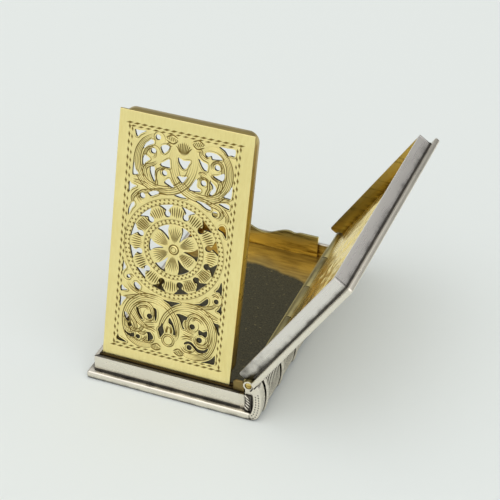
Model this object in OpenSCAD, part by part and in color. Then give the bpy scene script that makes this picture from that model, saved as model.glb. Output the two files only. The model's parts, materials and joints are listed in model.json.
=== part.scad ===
// Book-shaped silver vinaigrette, shown open: a shallow tray with a rounded spine,
// a hinged cover and a hinged, pierced inner grille.
// X runs from the fore edge to the spine, Y from the tail end to the head end, Z up.
// The origin is the middle of the bottom board's underside.

/* [Case] */
// Length of the page block, over its end walls
block_len = 36; // [30:0.5:45]
// Width of the page block, from the fore-edge wall to the hinge-side wall
block_w = 20.2; // [19.6:0.1:26]
// Overhang of both boards past the walls
overhang = 0.8; // [0.7:0.05:1.5]
// Thickness of the bottom board
base_board_t = 1.0; // [0.8:0.05:1.5]
// Height of the tray walls above the bottom board
base_wall_h = 2.25; // [2.1:0.05:4]
// Thickness of the sheet that the walls are made of
wall_t = 0.5; // [0.3:0.05:0.7]
// Thickness of the gilt floor sheet
floor_t = 0.15; // [0.1:0.05:0.4]

/* [Lid] */
// Height of the lid walls
lid_wall_h = 1.9; // [1.5:0.05:3]
// Thickness of the sheet that the lid walls are made of
lid_wall_t = 0.4; // [0.25:0.05:0.42]
// Thickness of the lid board
lid_board_t = 0.75; // [0.65:0.05:1.2]
// Thickness of the gilt sheet inside the lid
lid_lining_t = 0.15; // [0.1:0.05:0.4]
// Gap between the lid walls and the tray walls when the book is shut
shut_gap = 0.05; // [0.02:0.01:0.2]
// How far the lid end walls sit inside the page block's ends
lid_wall_in = 0.05; // [0.02:0.01:0.2]
// Distance from the hinge axis to the heel of the lid board
lid_heel = 0.45; // [0.35:0.05:0.6]
// Distance from the hinge axis to the hinge end of the lid end walls
lid_wall_heel = 0.1; // [0:0.05:0.5]
// Radius of the rounded hinge corner of the lid end walls
lid_wall_round = 0.35; // [0.1:0.05:0.8]
// Distance from the hinge axis to the gilt sheet inside the lid
lid_lining_heel = 0.9; // [0.85:0.05:1.5]
// Angle that the lid stands open, where its board meets the spine
lid_open = 123; // [110:1:130]
// Gap left between the open lid board and the spine
stop_gap = 0.06; // [0.03:0.01:0.2]

/* [Lid hinge] */
// Distance from the hinge-side wall to the hinge axis
hinge_set = 1.2; // [1.1:0.05:1.4]
// Outer radius of the hinge tubes
knuckle_r = 0.7; // [0.6:0.05:0.75]
// Radius of the hinge pin
pin_r = 0.46; // [0.3:0.02:0.5]
// Radial clearance of the pin in the tubes that turn on it
pin_clear = 0.03; // [0.02:0.01:0.08]
// Radial clearance where the other leaf's tubes turn
knuckle_clear = 0.08; // [0.05:0.01:0.15]
// Gap between neighbouring tubes
knuckle_gap = 0.1; // [0.06:0.01:0.3]
// How far the hinge stands past the page block at each end
knuckle_out = 0.5; // [0.2:0.05:0.65]
// How far each end of the pin lies below the end of its tube
pin_recess = 0.08; // [0:0.02:0.3]
// Number of tubes in the lid hinge, the first and last on the spine
lid_knuckles_n = 5; // [3:2:9]

/* [Spine] */
// Distance from the hinge-side wall to the foot of the spine
spine_set = 1.5; // [1.3:0.05:1.6]
// Radius of the spine's broad back
spine_bulge_r = 7; // [5:0.5:12]
// Radius of the spine's upper and lower corners
spine_corner_r = 1.3; // [1.15:0.05:1.5]
// Thickness of the spine's shell
spine_t = 1.0; // [0.7:0.05:1.1]
// Depth of the hinge bed below the hinge axis
bed_depth = 0.75; // [0.6:0.05:1]
// Number of raised bands across the spine
band_n = 7; // [3:1:11]
// Width of a raised band
band_w = 0.7; // [0.4:0.05:1.2]
// Height of a raised band
band_h = 0.22; // [0.1:0.02:0.4]
// Distance from the page block's end to the middle of the first band
band_end = 1.45; // [1:0.05:3]
// How far the end caps lie inside the ends of the spine
cap_recess = 0.25; // [0.1:0.05:0.5]

/* [Rims in the tray] */
// Thickness of the wavy tongue at the head end
tongue_t = 0.35; // [0.2:0.05:0.5]
// Length of the tongue along the head wall
tongue_w = 16.4; // [12:0.2:17]
// Height of the tongue's middle notch above the wall
tongue_low = 0.15; // [0.05:0.05:0.6]
// Height of the tongue's crests above the wall
tongue_high = 1.3; // [0.7:0.05:1.5]
// Distance of the crests from the tongue's middle
crest_at = 3.8; // [3:0.1:4.5]
// Width of the small dip beside each crest
dip_w = 1.8; // [1:0.1:2.5]
// Depth of the small dip beside each crest
dip_d = 0.2; // [0.05:0.05:0.4]
// Thickness of the tail bezel
bezel_t = 0.3; // [0.2:0.05:0.5]
// Height of the tail bezel above the tail wall
bezel_rise = 0.2; // [0.1:0.05:0.3]
// Width of the cheek that stands at the spine end of the bezel, beside the grille hinge
cheek_w = 0.75; // [0.4:0.05:0.8]
// Height of the cheek above the tail wall
cheek_rise = 1.6; // [0.5:0.05:1.7]
// Radius of the cheek's free corner
cheek_round = 0.4; // [0.1:0.05:0.4]

/* [Grille] */
// Thickness of the grille plate
plate_t = 0.35; // [0.25:0.05:0.5]
// Gap between the grille plate and the fore-edge wall
grille_fore_gap = 0.25; // [0.15:0.05:0.6]
// Gap between the grille plate and the hinge-side wall, with room for the end of the grille hinge
grille_spine_gap = 1.35; // [0.9:0.05:2]
// Gap between the shut grille plate and the tongue at the head end
grille_head_gap = 0.4; // [0.2:0.05:1]
// Height of the plate's underside above the grille hinge axis, when shut
plate_lift = 0.1; // [0.05:0.05:0.15]
// Angle that the grille stands open
grille_open = 78; // [60:1:85]
// Depth of the skirt behind the plate
skirt_d = 1.65; // [0.6:0.05:1.8]
// Thickness of the skirt
skirt_t = 0.35; // [0.2:0.05:0.5]
// Corner radius of the skirt
skirt_round = 1.4; // [0.8:0.1:2.5]
// How far the skirt lies inside the plate's edge
skirt_in = 0.05; // [0.02:0.01:0.3]
// Distance from the grille hinge axis to the skirt
skirt_heel = 0.9; // [0.75:0.05:1.5]

/* [Grille hinge] */
// Outer radius of the grille hinge tubes
grille_knuckle_r = 0.5; // [0.45:0.05:0.55]
// Radius of the grille hinge pin
grille_pin_r = 0.24; // [0.15:0.02:0.3]
// Gap between the grille hinge tubes and the tail bezel
grille_hinge_gap = 0.06; // [0.04:0.02:0.2]
// Depth of the grille hinge axis below the top of the tray walls
grille_hinge_drop = 0.05; // [0:0.05:0.2]
// Thickness of the leaf that joins a fixed tube to the bezel
leaf_t = 0.4; // [0.2:0.05:0.6]
// How far the grille hinge reaches past the plate on the spine side
grille_hinge_out = 0.5; // [0.2:0.1:0.8]
// Number of tubes in the grille hinge, the first and last in the tray
grille_knuckles_n = 5; // [3:2:9]

/* [Pierced ornament] */
// Plain and dotted margin around the pierced field
field_margin = 2.2; // [1.8:0.1:3]
// How far the medallion and the scrolls run into the margin
bite = 0.3; // [0.1:0.05:0.5]
// Radius of the medallion's inner ring
rosette_r = 3.9; // [3.6:0.1:4.1]
// Width of the medallion's inner ring
ring_w = 0.55; // [0.4:0.05:0.7]
// Number of keyhole piercings around the medallion
keyhole_n = 12; // [8:1:16]
// Radius of the round end of a keyhole
keyhole_r = 0.34; // [0.2:0.02:0.4]
// Distance from the medallion's middle to the round ends
keyhole_at = 4.65; // [4.4:0.05:4.9]
// Half width of a keyhole's flared end
keyhole_flare = 0.85; // [0.5:0.05:1]
// Number of petals in the rosette
petal_n = 6; // [5:1:9]
// Half width of the opening between two petals
petal_gap = 0.9; // [0.5:0.05:1]
// Distance from the rosette's middle to where the petals part
petal_root = 1.1; // [0.8:0.1:1.6]
// Outer radius of a scroll
scroll_r = 3.85; // [3.7:0.05:4]
// Width of a scroll's band
scroll_w = 0.85; // [0.6:0.05:1]
// Radius of the round leaves that fill a scroll
leaf_r = 1.1; // [0.9:0.05:1.2]
// Radius of the small round piercings in the leaves
eye_r = 0.38; // [0.25:0.01:0.45]
// Width of the stalk that joins a leaf to its scroll
stalk_w = 0.8; // [0.5:0.05:1]
// Direction of the leaves beside the medallion, from the short centre line
side_leaf_turn = 53; // [45:1:60]

/* [Hidden] */
$fn = 96;

// Finishes
silver = [0.83, 0.82, 0.80];
gilt = [0.87, 0.78, 0.45];
old_gilt = [0.62, 0.48, 0.18];
dull_floor = [0.30, 0.28, 0.20];

// Plan of the case
board_len = block_len + 2 * overhang;
board_w = overhang + block_w + spine_set;
fore_x = overhang - board_w / 2;
hinge_wall_x = fore_x + block_w;
spine_x = board_w / 2;
tail_y = -block_len / 2;
head_y = block_len / 2;
inner_w = block_w - 2 * wall_t;
inner_len = block_len - 2 * wall_t;

// Heights
wall_top = base_board_t + base_wall_h;
floor_top = base_board_t + floor_t;
hinge_z = wall_top + shut_gap + lid_wall_h;
case_h = hinge_z + lid_board_t;
bed_z = hinge_z - bed_depth;

// Lid hinge
hinge_x = hinge_wall_x + hinge_set;
hinge_len = block_len + 2 * knuckle_out;
lid_knuckle_len = (hinge_len - (lid_knuckles_n - 1) * knuckle_gap) / lid_knuckles_n;
lid_reach = hinge_x - fore_x;
lid_tail_y = tail_y + lid_wall_in + lid_wall_t;
lid_head_y = head_y - lid_wall_in - lid_wall_t;
heel_clear = lid_heel - stop_gap;

// Spine outline: one broad arc that runs into two small corner arcs
spine_mid = case_h / 2;
corner_rise = spine_mid - spine_corner_r;
bulge_reach = sqrt((spine_bulge_r - spine_corner_r) ^ 2 - corner_rise ^ 2);
bulge_x = spine_x - bulge_reach;

// Grille hinge
grille_y = tail_y + wall_t + bezel_t + grille_hinge_gap + grille_knuckle_r;
grille_z = wall_top - grille_hinge_drop;
grille_x = fore_x + wall_t + grille_fore_gap;
grille_w = inner_w - grille_fore_gap - grille_spine_gap;
grille_l = head_y - wall_t - tongue_t - grille_head_gap - grille_y;
grille_hinge_len = grille_w + grille_hinge_out;
grille_knuckle_len = (grille_hinge_len - (grille_knuckles_n - 1) * knuckle_gap) / grille_knuckles_n;
field_w = grille_w - 2 * field_margin;
field_l = grille_l - 2 * field_margin;
medallion_r = field_w / 2 + bite;
scroll_x = field_w / 2 + bite - scroll_r;
scroll_y = field_l / 2 + bite - scroll_r;

// Longer than any cut needs
far = 60;
eps = 0.01;

// Extrudes an outline drawn in X and Z from one Y to another
module along_y(from, to) {
    translate([0, to, 0]) rotate([90, 0, 0]) linear_extrude(to - from) children();
}

// A box from its lowest corner to its highest
module box(low, high) {
    translate(low) cube(high - low);
}

// A round bar along Y
module bar_y(r, from, to) {
    translate([0, to, 0]) rotate([90, 0, 0]) cylinder(r = r, h = to - from);
}

// A round bar along X
module bar_x(r, from, to) {
    translate([from, 0, 0]) rotate([0, 90, 0]) cylinder(r = r, h = to - from);
}

// A piece of the lid, drawn shut with the hinge axis as its origin
module on_lid() {
    translate([hinge_x, 0, hinge_z]) rotate([0, lid_open, 0]) children();
}

// A piece of the grille, drawn shut with its hinge axis as the origin
module on_grille() {
    translate([0, grille_y, grille_z]) rotate([grille_open, 0, 0]) children();
}

// Start of tube number i in the lid hinge and in the grille hinge
function lid_knuckle_y(i) = -hinge_len / 2 + i * (lid_knuckle_len + knuckle_gap);
function grille_knuckle_x(i) = grille_x + i * (grille_knuckle_len + knuckle_gap);

// Bars at every second lid hinge tube from number first
module lid_hinge_bars(r, first, grow = 0) {
    for (i = [first : 2 : lid_knuckles_n - 1])
        bar_y(r, lid_knuckle_y(i) - grow, lid_knuckle_y(i) + lid_knuckle_len + grow);
}

// Bars at every second grille hinge tube from number first
module grille_hinge_bars(r, first, grow = 0) {
    for (i = [first : 2 : grille_knuckles_n - 1])
        bar_x(r, grille_knuckle_x(i) - grow, grille_knuckle_x(i) + grille_knuckle_len + grow);
}

// Bottom board and tray walls
module base_board() {
    color(silver) box([-board_w / 2, -board_len / 2, 0], [board_w / 2, board_len / 2, base_board_t]);
}

module base_fore_wall() {
    color(silver) box([fore_x, tail_y + wall_t, base_board_t], [fore_x + wall_t, head_y - wall_t, wall_top]);
}

module base_hinge_wall() {
    color(silver) box([hinge_wall_x - wall_t, tail_y + wall_t, base_board_t],
        [hinge_wall_x, head_y - wall_t, wall_top]);
}

module base_tail_wall() {
    color(silver) box([fore_x, tail_y, base_board_t], [hinge_wall_x, tail_y + wall_t, wall_top]);
}

module base_head_wall() {
    color(silver) box([fore_x, head_y - wall_t, base_board_t], [hinge_wall_x, head_y, wall_top]);
}

module tray_floor() {
    color(dull_floor) box([fore_x + wall_t, tail_y + wall_t, base_board_t],
        [hinge_wall_x - wall_t, head_y - wall_t, floor_top]);
}

// Height of the tongue's edge above the wall at distance d from its middle:
// it swells from the notch to a crest, dips, and runs level to its end
function tongue_edge(d) =
    d < crest_at ? tongue_low + (tongue_high - tongue_low) * (1 - cos(180 * d / crest_at)) / 2
    : d < crest_at + dip_w ? tongue_high - dip_d * (1 - cos(360 * (d - crest_at) / dip_w)) / 2
    : tongue_high;

module head_tongue() {
    steps = 20;
    half = tongue_w / 2;
    middle = fore_x + wall_t + inner_w / 2;
    edge = [for (i = [-steps : steps]) [i * half / steps, wall_top + tongue_edge(abs(i) * half / steps)]];
    color(old_gilt) translate([middle, 0, 0]) along_y(head_y - wall_t - tongue_t, head_y - wall_t)
        polygon(concat([[half, floor_top], [-half, floor_top]], edge));
}

// Bezel along the tail wall, with a cheek that rises beside the grille hinge
module tail_bezel() {
    cheek_x = hinge_wall_x - wall_t - cheek_w;
    cheek_h = wall_top + cheek_rise - floor_top;
    color(old_gilt) translate([0, 0, floor_top]) along_y(tail_y + wall_t, tail_y + wall_t + bezel_t) {
        translate([fore_x + wall_t, 0]) square([inner_w, wall_top + bezel_rise - floor_top]);
        translate([cheek_x, 0]) {
            square([cheek_w, cheek_h - cheek_round]);
            translate([cheek_round, 0]) square([cheek_w - cheek_round, cheek_h]);
            translate([cheek_round, cheek_h - cheek_round]) circle(cheek_round);
        }
    }
}

// Spine

// Outline of the spine's back, moved inwards by inset
module spine_outline(inset) {
    // The wedge that the broad arc spans, drawn longer than its radius
    wedge = far / bulge_reach * [bulge_reach, corner_rise];
    intersection() {
        union() {
            translate([bulge_x, spine_mid]) intersection() {
                circle(spine_bulge_r - inset);
                polygon([[0, 0], [wedge[0], -wedge[1]], wedge]);
            }
            for (side = [-1, 1])
                translate([spine_x, spine_mid + side * corner_rise]) circle(spine_corner_r - inset);
        }
        translate([spine_x, 0]) square([far, far]);
    }
}

// Room for the lid board at the end of its swing
module open_lid_room() {
    on_lid() box([-far, -far, -far], [-heel_clear, far, lid_board_t + stop_gap]);
}

module spine_shell() {
    color(silver) difference() {
        along_y(-board_len / 2, board_len / 2) difference() {
            spine_outline(0);
            intersection() {
                spine_outline(spine_t);
                square([far, bed_z]);
            }
        }
        translate([hinge_x, 0, hinge_z]) {
            bar_y(knuckle_r, -far, far);
            lid_hinge_bars(knuckle_r + knuckle_clear, 1, knuckle_gap);
        }
        open_lid_room();
    }
}

module spine_bands() {
    pitch = (block_len - 2 * band_end) / (band_n - 1);
    color(silver) difference() {
        for (i = [0 : band_n - 1])
            along_y(tail_y + band_end + i * pitch - band_w / 2, tail_y + band_end + i * pitch + band_w / 2)
                difference() {
                    spine_outline(-band_h);
                    spine_outline(0);
                }
        open_lid_room();
    }
}

// End cap that closes the hollow of the spine, from one Y to another
module spine_cap(from, to) {
    along_y(from, to) difference() {
        union() {
            intersection() {
                spine_outline(spine_t);
                square([far, bed_z]);
            }
            translate([hinge_wall_x, base_board_t])
                square([spine_x - hinge_wall_x, bed_z - base_board_t]);
        }
        translate([hinge_x, hinge_z]) circle(knuckle_r + knuckle_clear);
    }
}

module spine_cap_tail() {
    color(silver) spine_cap(cap_recess - board_len / 2, tail_y);
}

module spine_cap_head() {
    color(silver) spine_cap(head_y, board_len / 2 - cap_recess);
}

module spine_knuckles() {
    color(silver) translate([hinge_x, 0, hinge_z]) difference() {
        lid_hinge_bars(knuckle_r, 0);
        bar_y(pin_r, -far, far);
    }
}

module lid_hinge_pin() {
    color(gilt) translate([hinge_x, 0, hinge_z])
        bar_y(pin_r, pin_recess - hinge_len / 2, hinge_len / 2 - pin_recess);
}

// Lid
module lid_board() {
    color(silver) on_lid() difference() {
        box([-lid_reach - overhang, -board_len / 2, 0], [-lid_heel, board_len / 2, lid_board_t]);
        bar_y(knuckle_r, -far, far);
        lid_hinge_bars(knuckle_r + knuckle_clear, 0, knuckle_gap);
    }
}

// Outline of a lid end wall, hollowed for the hinge tubes and with its hinge corner rounded
module lid_end_outline() {
    difference() {
        translate([-lid_reach, -lid_wall_h]) square([lid_reach - lid_wall_heel, lid_wall_h]);
        circle(knuckle_r + knuckle_clear);
        translate([-lid_wall_heel - lid_wall_round, -lid_wall_h]) difference() {
            square([lid_wall_round + eps, lid_wall_round]);
            translate([0, lid_wall_round]) circle(lid_wall_round);
        }
    }
}

module lid_tail_wall() {
    from = tail_y + lid_wall_in;
    color(silver) on_lid() along_y(from, from + lid_wall_t) lid_end_outline();
}

module lid_head_wall() {
    to = head_y - lid_wall_in;
    color(silver) on_lid() along_y(to - lid_wall_t, to) lid_end_outline();
}

module lid_fore_wall() {
    color(silver) on_lid() box([-lid_reach, lid_tail_y, -lid_wall_h],
        [lid_wall_t - lid_reach, lid_head_y, 0]);
}

module lid_lining() {
    color(gilt) on_lid() box([lid_wall_t - lid_reach, lid_tail_y, -lid_lining_t],
        [-lid_lining_heel, lid_head_y, 0]);
}

module lid_knuckles() {
    color(silver) on_lid() difference() {
        lid_hinge_bars(knuckle_r, 1);
        bar_y(pin_r + pin_clear, -far, far);
    }
}

// Grille

// A rectangle with round corners
module round_rectangle(w, l, r) {
    square([w - 2 * r, l], center = true);
    square([w, l - 2 * r], center = true);
    for (x = [-1, 1], y = [-1, 1])
        translate([x * (w / 2 - r), y * (l / 2 - r)]) circle(r);
}

// Medallion: a pierced wheel of keyholes around a rosette of petals
module medallion() {
    rosette_in = rosette_r - ring_w;
    difference() {
        circle(medallion_r);
        for (i = [0 : keyhole_n - 1]) rotate((i + 0.5) * 360 / keyhole_n) {
            translate([keyhole_at, 0]) circle(keyhole_r);
            polygon([[keyhole_at, 0], [medallion_r - ring_w, -keyhole_flare],
                [medallion_r - ring_w, keyhole_flare]]);
        }
        for (i = [0 : petal_n - 1]) rotate(i * 360 / petal_n)
            polygon([[petal_root, 0], [rosette_in, -petal_gap], [rosette_in, petal_gap]]);
    }
}

// One scroll with the leaves that fill it; the leaves and their eyes are placed from the scroll's middle
module scroll() {
    leaves = [[1.35, 1.1], [-0.4, -1.3], [1.5, -1.5], [-1.0, 1.0]];
    difference() {
        union() {
            difference() {
                circle(scroll_r);
                circle(scroll_r - scroll_w);
            }
            for (place = leaves) {
                translate(place) circle(leaf_r);
                rotate(atan2(place[1], place[0])) translate([norm(place), -stalk_w / 2])
                    square([scroll_r - scroll_w / 2 - norm(place), stalk_w]);
            }
        }
        for (place = leaves) translate(place) circle(eye_r);
    }
}

// Openwork of the whole field: four scrolls, four side leaves, two palmettes and the medallion
module openwork() {
    side_leaf = (medallion_r + leaf_r - bite) * [cos(side_leaf_turn), sin(side_leaf_turn)];
    palmette_y = field_l / 2 - leaf_r;
    medallion();
    for (x = [-1, 1], y = [-1, 1]) {
        translate([x * scroll_x, y * scroll_y]) scale([x, y]) scroll();
        translate([x * side_leaf[0], y * side_leaf[1]]) difference() {
            circle(leaf_r);
            circle(eye_r);
        }
    }
    for (y = [-1, 1]) translate([0, y * palmette_y]) circle(leaf_r + eye_r);
}

module grille_outline() {
    translate([grille_x + grille_w / 2, grille_l / 2]) {
        difference() {
            square([grille_w, grille_l], center = true);
            square([field_w, field_l], center = true);
        }
        intersection() {
            openwork();
            square([field_w + 2 * eps, field_l + 2 * eps], center = true);
        }
    }
}

module grille_plate() {
    color(gilt) on_grille() difference() {
        translate([0, 0, plate_lift]) linear_extrude(plate_t) grille_outline();
        bar_x(grille_knuckle_r, -far, far);
        grille_hinge_bars(grille_knuckle_r + knuckle_clear, 0, knuckle_gap);
    }
}

module grille_skirt() {
    w = grille_w - 2 * skirt_in;
    l = grille_l - skirt_heel - skirt_in;
    color(old_gilt) on_grille()
        translate([grille_x + grille_w / 2, skirt_heel + l / 2, plate_lift - skirt_d]) linear_extrude(skirt_d)
            difference() {
                round_rectangle(w, l, skirt_round);
                round_rectangle(w - 2 * skirt_t, l - 2 * skirt_t, skirt_round - skirt_t);
            }
}

module grille_knuckles() {
    color(old_gilt) on_grille() difference() {
        grille_hinge_bars(grille_knuckle_r, 1);
        bar_x(grille_pin_r + pin_clear, -far, far);
    }
}

// Tubes fixed in the tray, each with a leaf that joins it to the tail bezel
module tray_knuckles() {
    reach = grille_knuckle_r + grille_hinge_gap;
    color(old_gilt) translate([0, grille_y, grille_z]) difference() {
        union() {
            grille_hinge_bars(grille_knuckle_r, 0);
            for (i = [0 : 2 : grille_knuckles_n - 1])
                box([grille_knuckle_x(i), -reach, -leaf_t / 2],
                    [grille_knuckle_x(i) + grille_knuckle_len, 0, leaf_t / 2]);
        }
        bar_x(grille_pin_r, -far, far);
    }
}

module grille_hinge_pin() {
    color(gilt) translate([0, grille_y, grille_z])
        bar_x(grille_pin_r, grille_x + pin_recess, grille_x + grille_hinge_len - pin_recess);
}

base_board();
base_fore_wall();
base_tail_wall();
base_head_wall();
base_hinge_wall();
tray_floor();
head_tongue();
tail_bezel();
spine_shell();
spine_bands();
spine_cap_tail();
spine_cap_head();
spine_knuckles();
lid_hinge_pin();
lid_board();
lid_fore_wall();
lid_tail_wall();
lid_head_wall();
lid_lining();
lid_knuckles();
grille_plate();
grille_skirt();
grille_knuckles();
tray_knuckles();
grille_hinge_pin();
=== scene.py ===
import json
import math

import bmesh
import bpy
from bpy.props import FloatProperty, FloatVectorProperty, IntProperty, PointerProperty
from mathutils import Matrix, Vector, geometry, kdtree, noise


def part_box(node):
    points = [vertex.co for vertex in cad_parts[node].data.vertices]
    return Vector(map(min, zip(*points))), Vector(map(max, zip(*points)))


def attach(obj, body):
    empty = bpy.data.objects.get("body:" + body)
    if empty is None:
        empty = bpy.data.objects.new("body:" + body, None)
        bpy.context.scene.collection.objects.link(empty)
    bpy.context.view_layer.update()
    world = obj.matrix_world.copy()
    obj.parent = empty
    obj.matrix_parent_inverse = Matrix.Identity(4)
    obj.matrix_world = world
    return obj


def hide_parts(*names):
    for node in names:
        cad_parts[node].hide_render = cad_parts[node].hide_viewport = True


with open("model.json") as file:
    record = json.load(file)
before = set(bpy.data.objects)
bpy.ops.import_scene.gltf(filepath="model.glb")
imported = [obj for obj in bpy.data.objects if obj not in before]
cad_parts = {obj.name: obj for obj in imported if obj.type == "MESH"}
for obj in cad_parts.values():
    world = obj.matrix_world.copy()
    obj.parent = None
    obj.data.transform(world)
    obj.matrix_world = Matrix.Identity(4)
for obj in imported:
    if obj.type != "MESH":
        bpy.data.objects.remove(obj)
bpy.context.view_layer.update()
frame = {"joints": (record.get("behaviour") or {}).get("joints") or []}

bl_info = {
    "name": "Book-Shaped Vinaigrette",
    "version": (1, 0, 0),
    "blender": (4, 5, 0),
    "location": "3D View > Sidebar > Vinaigrette",
    "description": "Dresses the packed solids of a silver book box with a pierced gilt grille",
    "category": "Object",
}

MM = 0.001

# Places that the construction gives, in millimetres
HINGE = {joint["name"]: Vector(joint["pos_m"]) / MM for joint in frame["joints"]}
LID_AXIS = HINGE["lid_hinge"]
GRILLE_AXIS = HINGE["grille_hinge"]
WALL_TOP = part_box("base_tail_wall")[1].z / MM
BOARD_LOW, BOARD_HIGH = (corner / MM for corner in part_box("base_board"))
PLATE_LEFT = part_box("grille_plate")[0].x / MM
PLATE_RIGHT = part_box("grille_plate")[1].x / MM

# Sizes that several pieces share, in millimetres
PLATE_LENGTH = 33.39
TUBE_ROOM = 0.78     # radius of the room that the lid and the spine's ends leave round the lid hinge
TUBE_PLAY = 0.03     # how much wider a turning hinge tube is bored than a fixed one
PROUD = 0.03         # how far a dark strip of painted shade or a ledge stands out from its wall

# Edges that meet at less than this are shaded smooth
SMOOTH_ANGLE = math.radians(32)

# Attribute of the plate's points: how deep they lie in an engraved cut, as a share of the full depth
CUT = "cut"

# Settings of nodes that the finishes use often
BLEND = {"data_type": "RGBA"}
PLUS = {"operation": "ADD"}
TIMES_PLUS = {"operation": "MULTIPLY_ADD"}


def linear(code):
    """Turns an sRGB hex colour to linear red, green and blue."""
    parts = [int(code[i:i + 2], 16) / 255 for i in (1, 3, 5)]
    return [c / 12.92 if c <= 0.04045 else ((c + 0.055) / 1.055) ** 2.4 for c in parts]


class VinaigretteSizes(bpy.types.PropertyGroup):
    """Sizes of the case and the grille that only show, and that the solids leave to the looks"""

    lid_open: FloatProperty(
        name="Lid Angle", description="Angle that the lid is drawn open at",
        default=math.radians(123), subtype="ANGLE")
    grille_open: FloatProperty(
        name="Grille Angle", description="Angle that the grille is drawn open at",
        default=math.radians(78), subtype="ANGLE")
    board_round: FloatProperty(
        name="Board Edge", description="Radius of the rounded edges of both boards",
        default=0.26 * MM, unit="LENGTH", precision=5)
    wall_round: FloatProperty(
        name="Wall Edge", description="Radius of the worn edges of the walls",
        default=0.07 * MM, unit="LENGTH", precision=5)
    rib_pitch: FloatProperty(
        name="Rib Pitch", description="Distance between two ribs of the spine's reeded panels",
        default=0.46 * MM, unit="LENGTH", precision=5)
    rib_depth: FloatProperty(
        name="Rib Depth", description="Depth of the grooves between the ribs",
        default=0.18 * MM, unit="LENGTH", precision=5)
    band_height: FloatProperty(
        name="Band Height", description="Height of the raised bands across the spine",
        default=0.22 * MM, unit="LENGTH", precision=5)
    headband_beads: IntProperty(
        name="Headband Beads", description="Number of beads in the headband at each end of the spine",
        default=5, min=4, max=16)
    cut_width: FloatProperty(
        name="Cut Width", description="Width of an engraved line at its widest",
        default=0.24 * MM, unit="LENGTH", precision=5)
    cut_depth: FloatProperty(
        name="Cut Depth", description="Depth of an engraved line at its deepest",
        default=0.075 * MM, unit="LENGTH", precision=5)


class VinaigretteFinishes(bpy.types.PropertyGroup):
    """Colours of the metals and of the stage"""

    silver: FloatVectorProperty(
        name="Silver", description="Polished sterling silver", size=3, subtype="COLOR",
        default=linear("#EBE4D5"))
    # Dark tarnish, and also the colour of the painted shade in the recesses of the silver and along the foot
    # of the walls
    oxide: FloatVectorProperty(
        name="Oxide", description="Dark tarnish in the recesses of the silver", size=3, subtype="COLOR",
        default=linear("#3A3631"))
    gilding: FloatVectorProperty(
        name="Gilding", description="Pale satin gilding of the grille", size=3, subtype="COLOR",
        default=linear("#FBECA6"))
    # Painted shade at the bottom of the engraved cuts, with old polish dried there
    engraving: FloatVectorProperty(
        name="Engraving", description="Darkened gilding in the engraved lines", size=3, subtype="COLOR",
        default=linear("#7A642C"))
    old_gilding: FloatVectorProperty(
        name="Old Gilding", description="Clean gilding on the rims and inside the walls of the tray",
        size=3, subtype="COLOR", default=linear("#FFE890"))
    film: FloatVectorProperty(
        name="Film", description="Olive film on the floor of the tray", size=3, subtype="COLOR",
        default=linear("#403E30"))
    paper: FloatVectorProperty(
        name="Paper", description="Pale paper that the box stands on", size=3, subtype="COLOR",
        default=linear("#E2E6E3"))


# Modelling helpers: every piece is drawn in millimetres and settled in metres at the end

def pick(obj):
    """Makes one object the only selected and active one."""
    bpy.ops.object.select_all(action="DESELECT")
    obj.select_set(True)
    bpy.context.view_layer.objects.active = obj
    return obj


def block(low, high):
    """Adds a box from its lowest corner to its highest."""
    low, high = Vector(low), Vector(high)
    bpy.ops.mesh.primitive_cube_add(size=1, location=(low + high) / 2, scale=high - low)
    bpy.ops.object.transform_apply(location=True, rotation=True, scale=True)
    return bpy.context.object


def bar(radius, start, end, sides=64, ends="NGON"):
    """Adds a round bar between two points, or only its round side where its ends stay open."""
    start, end = Vector(start), Vector(end)
    along = end - start
    bpy.ops.mesh.primitive_cylinder_add(
        vertices=sides, radius=radius, depth=along.length, end_fill_type=ends,
        location=(start + end) / 2, rotation=along.to_track_quat("Z", "Y").to_euler())
    bpy.ops.object.transform_apply(location=True, rotation=True, scale=True)
    return bpy.context.object


def hinge_room(radius, axis):
    """Adds a long bar round an axis along Y, to cut room for the tubes of the lid hinge."""
    far = 40
    return bar(radius, (axis.x, -far, axis.z), (axis.x, far, axis.z))


def pellet(segments, rings, place):
    """Adds a ball that a matrix flattens, turns and puts in its place."""
    bpy.ops.mesh.primitive_uv_sphere_add(segments=segments, ring_count=rings, radius=1)
    obj = bpy.context.object
    obj.matrix_world = place
    bpy.ops.object.transform_apply(location=True, rotation=True, scale=True)
    return obj


def mesh_piece(name, points, faces):
    """Adds an object from points and faces."""
    mesh = bpy.data.meshes.new(name)
    mesh.from_pydata(points, [], faces)
    mesh.update()
    obj = bpy.data.objects.new(name, mesh)
    bpy.context.scene.collection.objects.link(obj)
    return pick(obj)


def modify(obj, kind, **settings):
    """Adds a modifier with its settings and applies it."""
    pick(obj)
    modifier = obj.modifiers.new(kind.title(), kind)
    for name, value in settings.items():
        setattr(modifier, name, value)
    bpy.ops.object.modifier_apply(modifier=modifier.name)


def round_edges(obj, width, segments, angle=30):
    """Rounds the edges that turn by more than an angle in degrees."""
    modify(obj, "BEVEL", width=width, segments=segments, limit_method="ANGLE",
           angle_limit=math.radians(angle))


def cut(obj, cutter):
    """Cuts one object out of another and deletes it."""
    modify(obj, "BOOLEAN", operation="DIFFERENCE", solver="EXACT", object=cutter)
    bpy.data.objects.remove(cutter)


def join(first, *others):
    """Joins objects into the first one."""
    pick(first)
    for other in others:
        other.select_set(True)
    bpy.ops.object.join()
    return first


def soften(obj, radius, segments, keep):
    """Rounds the edges whose two ends both pass a test."""
    pick(obj)
    bpy.ops.object.mode_set(mode="EDIT")
    bpy.ops.mesh.select_mode(type="EDGE")
    bpy.ops.mesh.select_all(action="DESELECT")
    mesh = bmesh.from_edit_mesh(obj.data)
    for edge in mesh.edges:
        edge.select_set(keep(edge.verts[0].co, edge.verts[1].co))
    bmesh.update_edit_mesh(obj.data)
    bpy.ops.mesh.bevel(offset=radius, segments=segments, affect="EDGES")
    bpy.ops.object.mode_set(mode="OBJECT")


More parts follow.
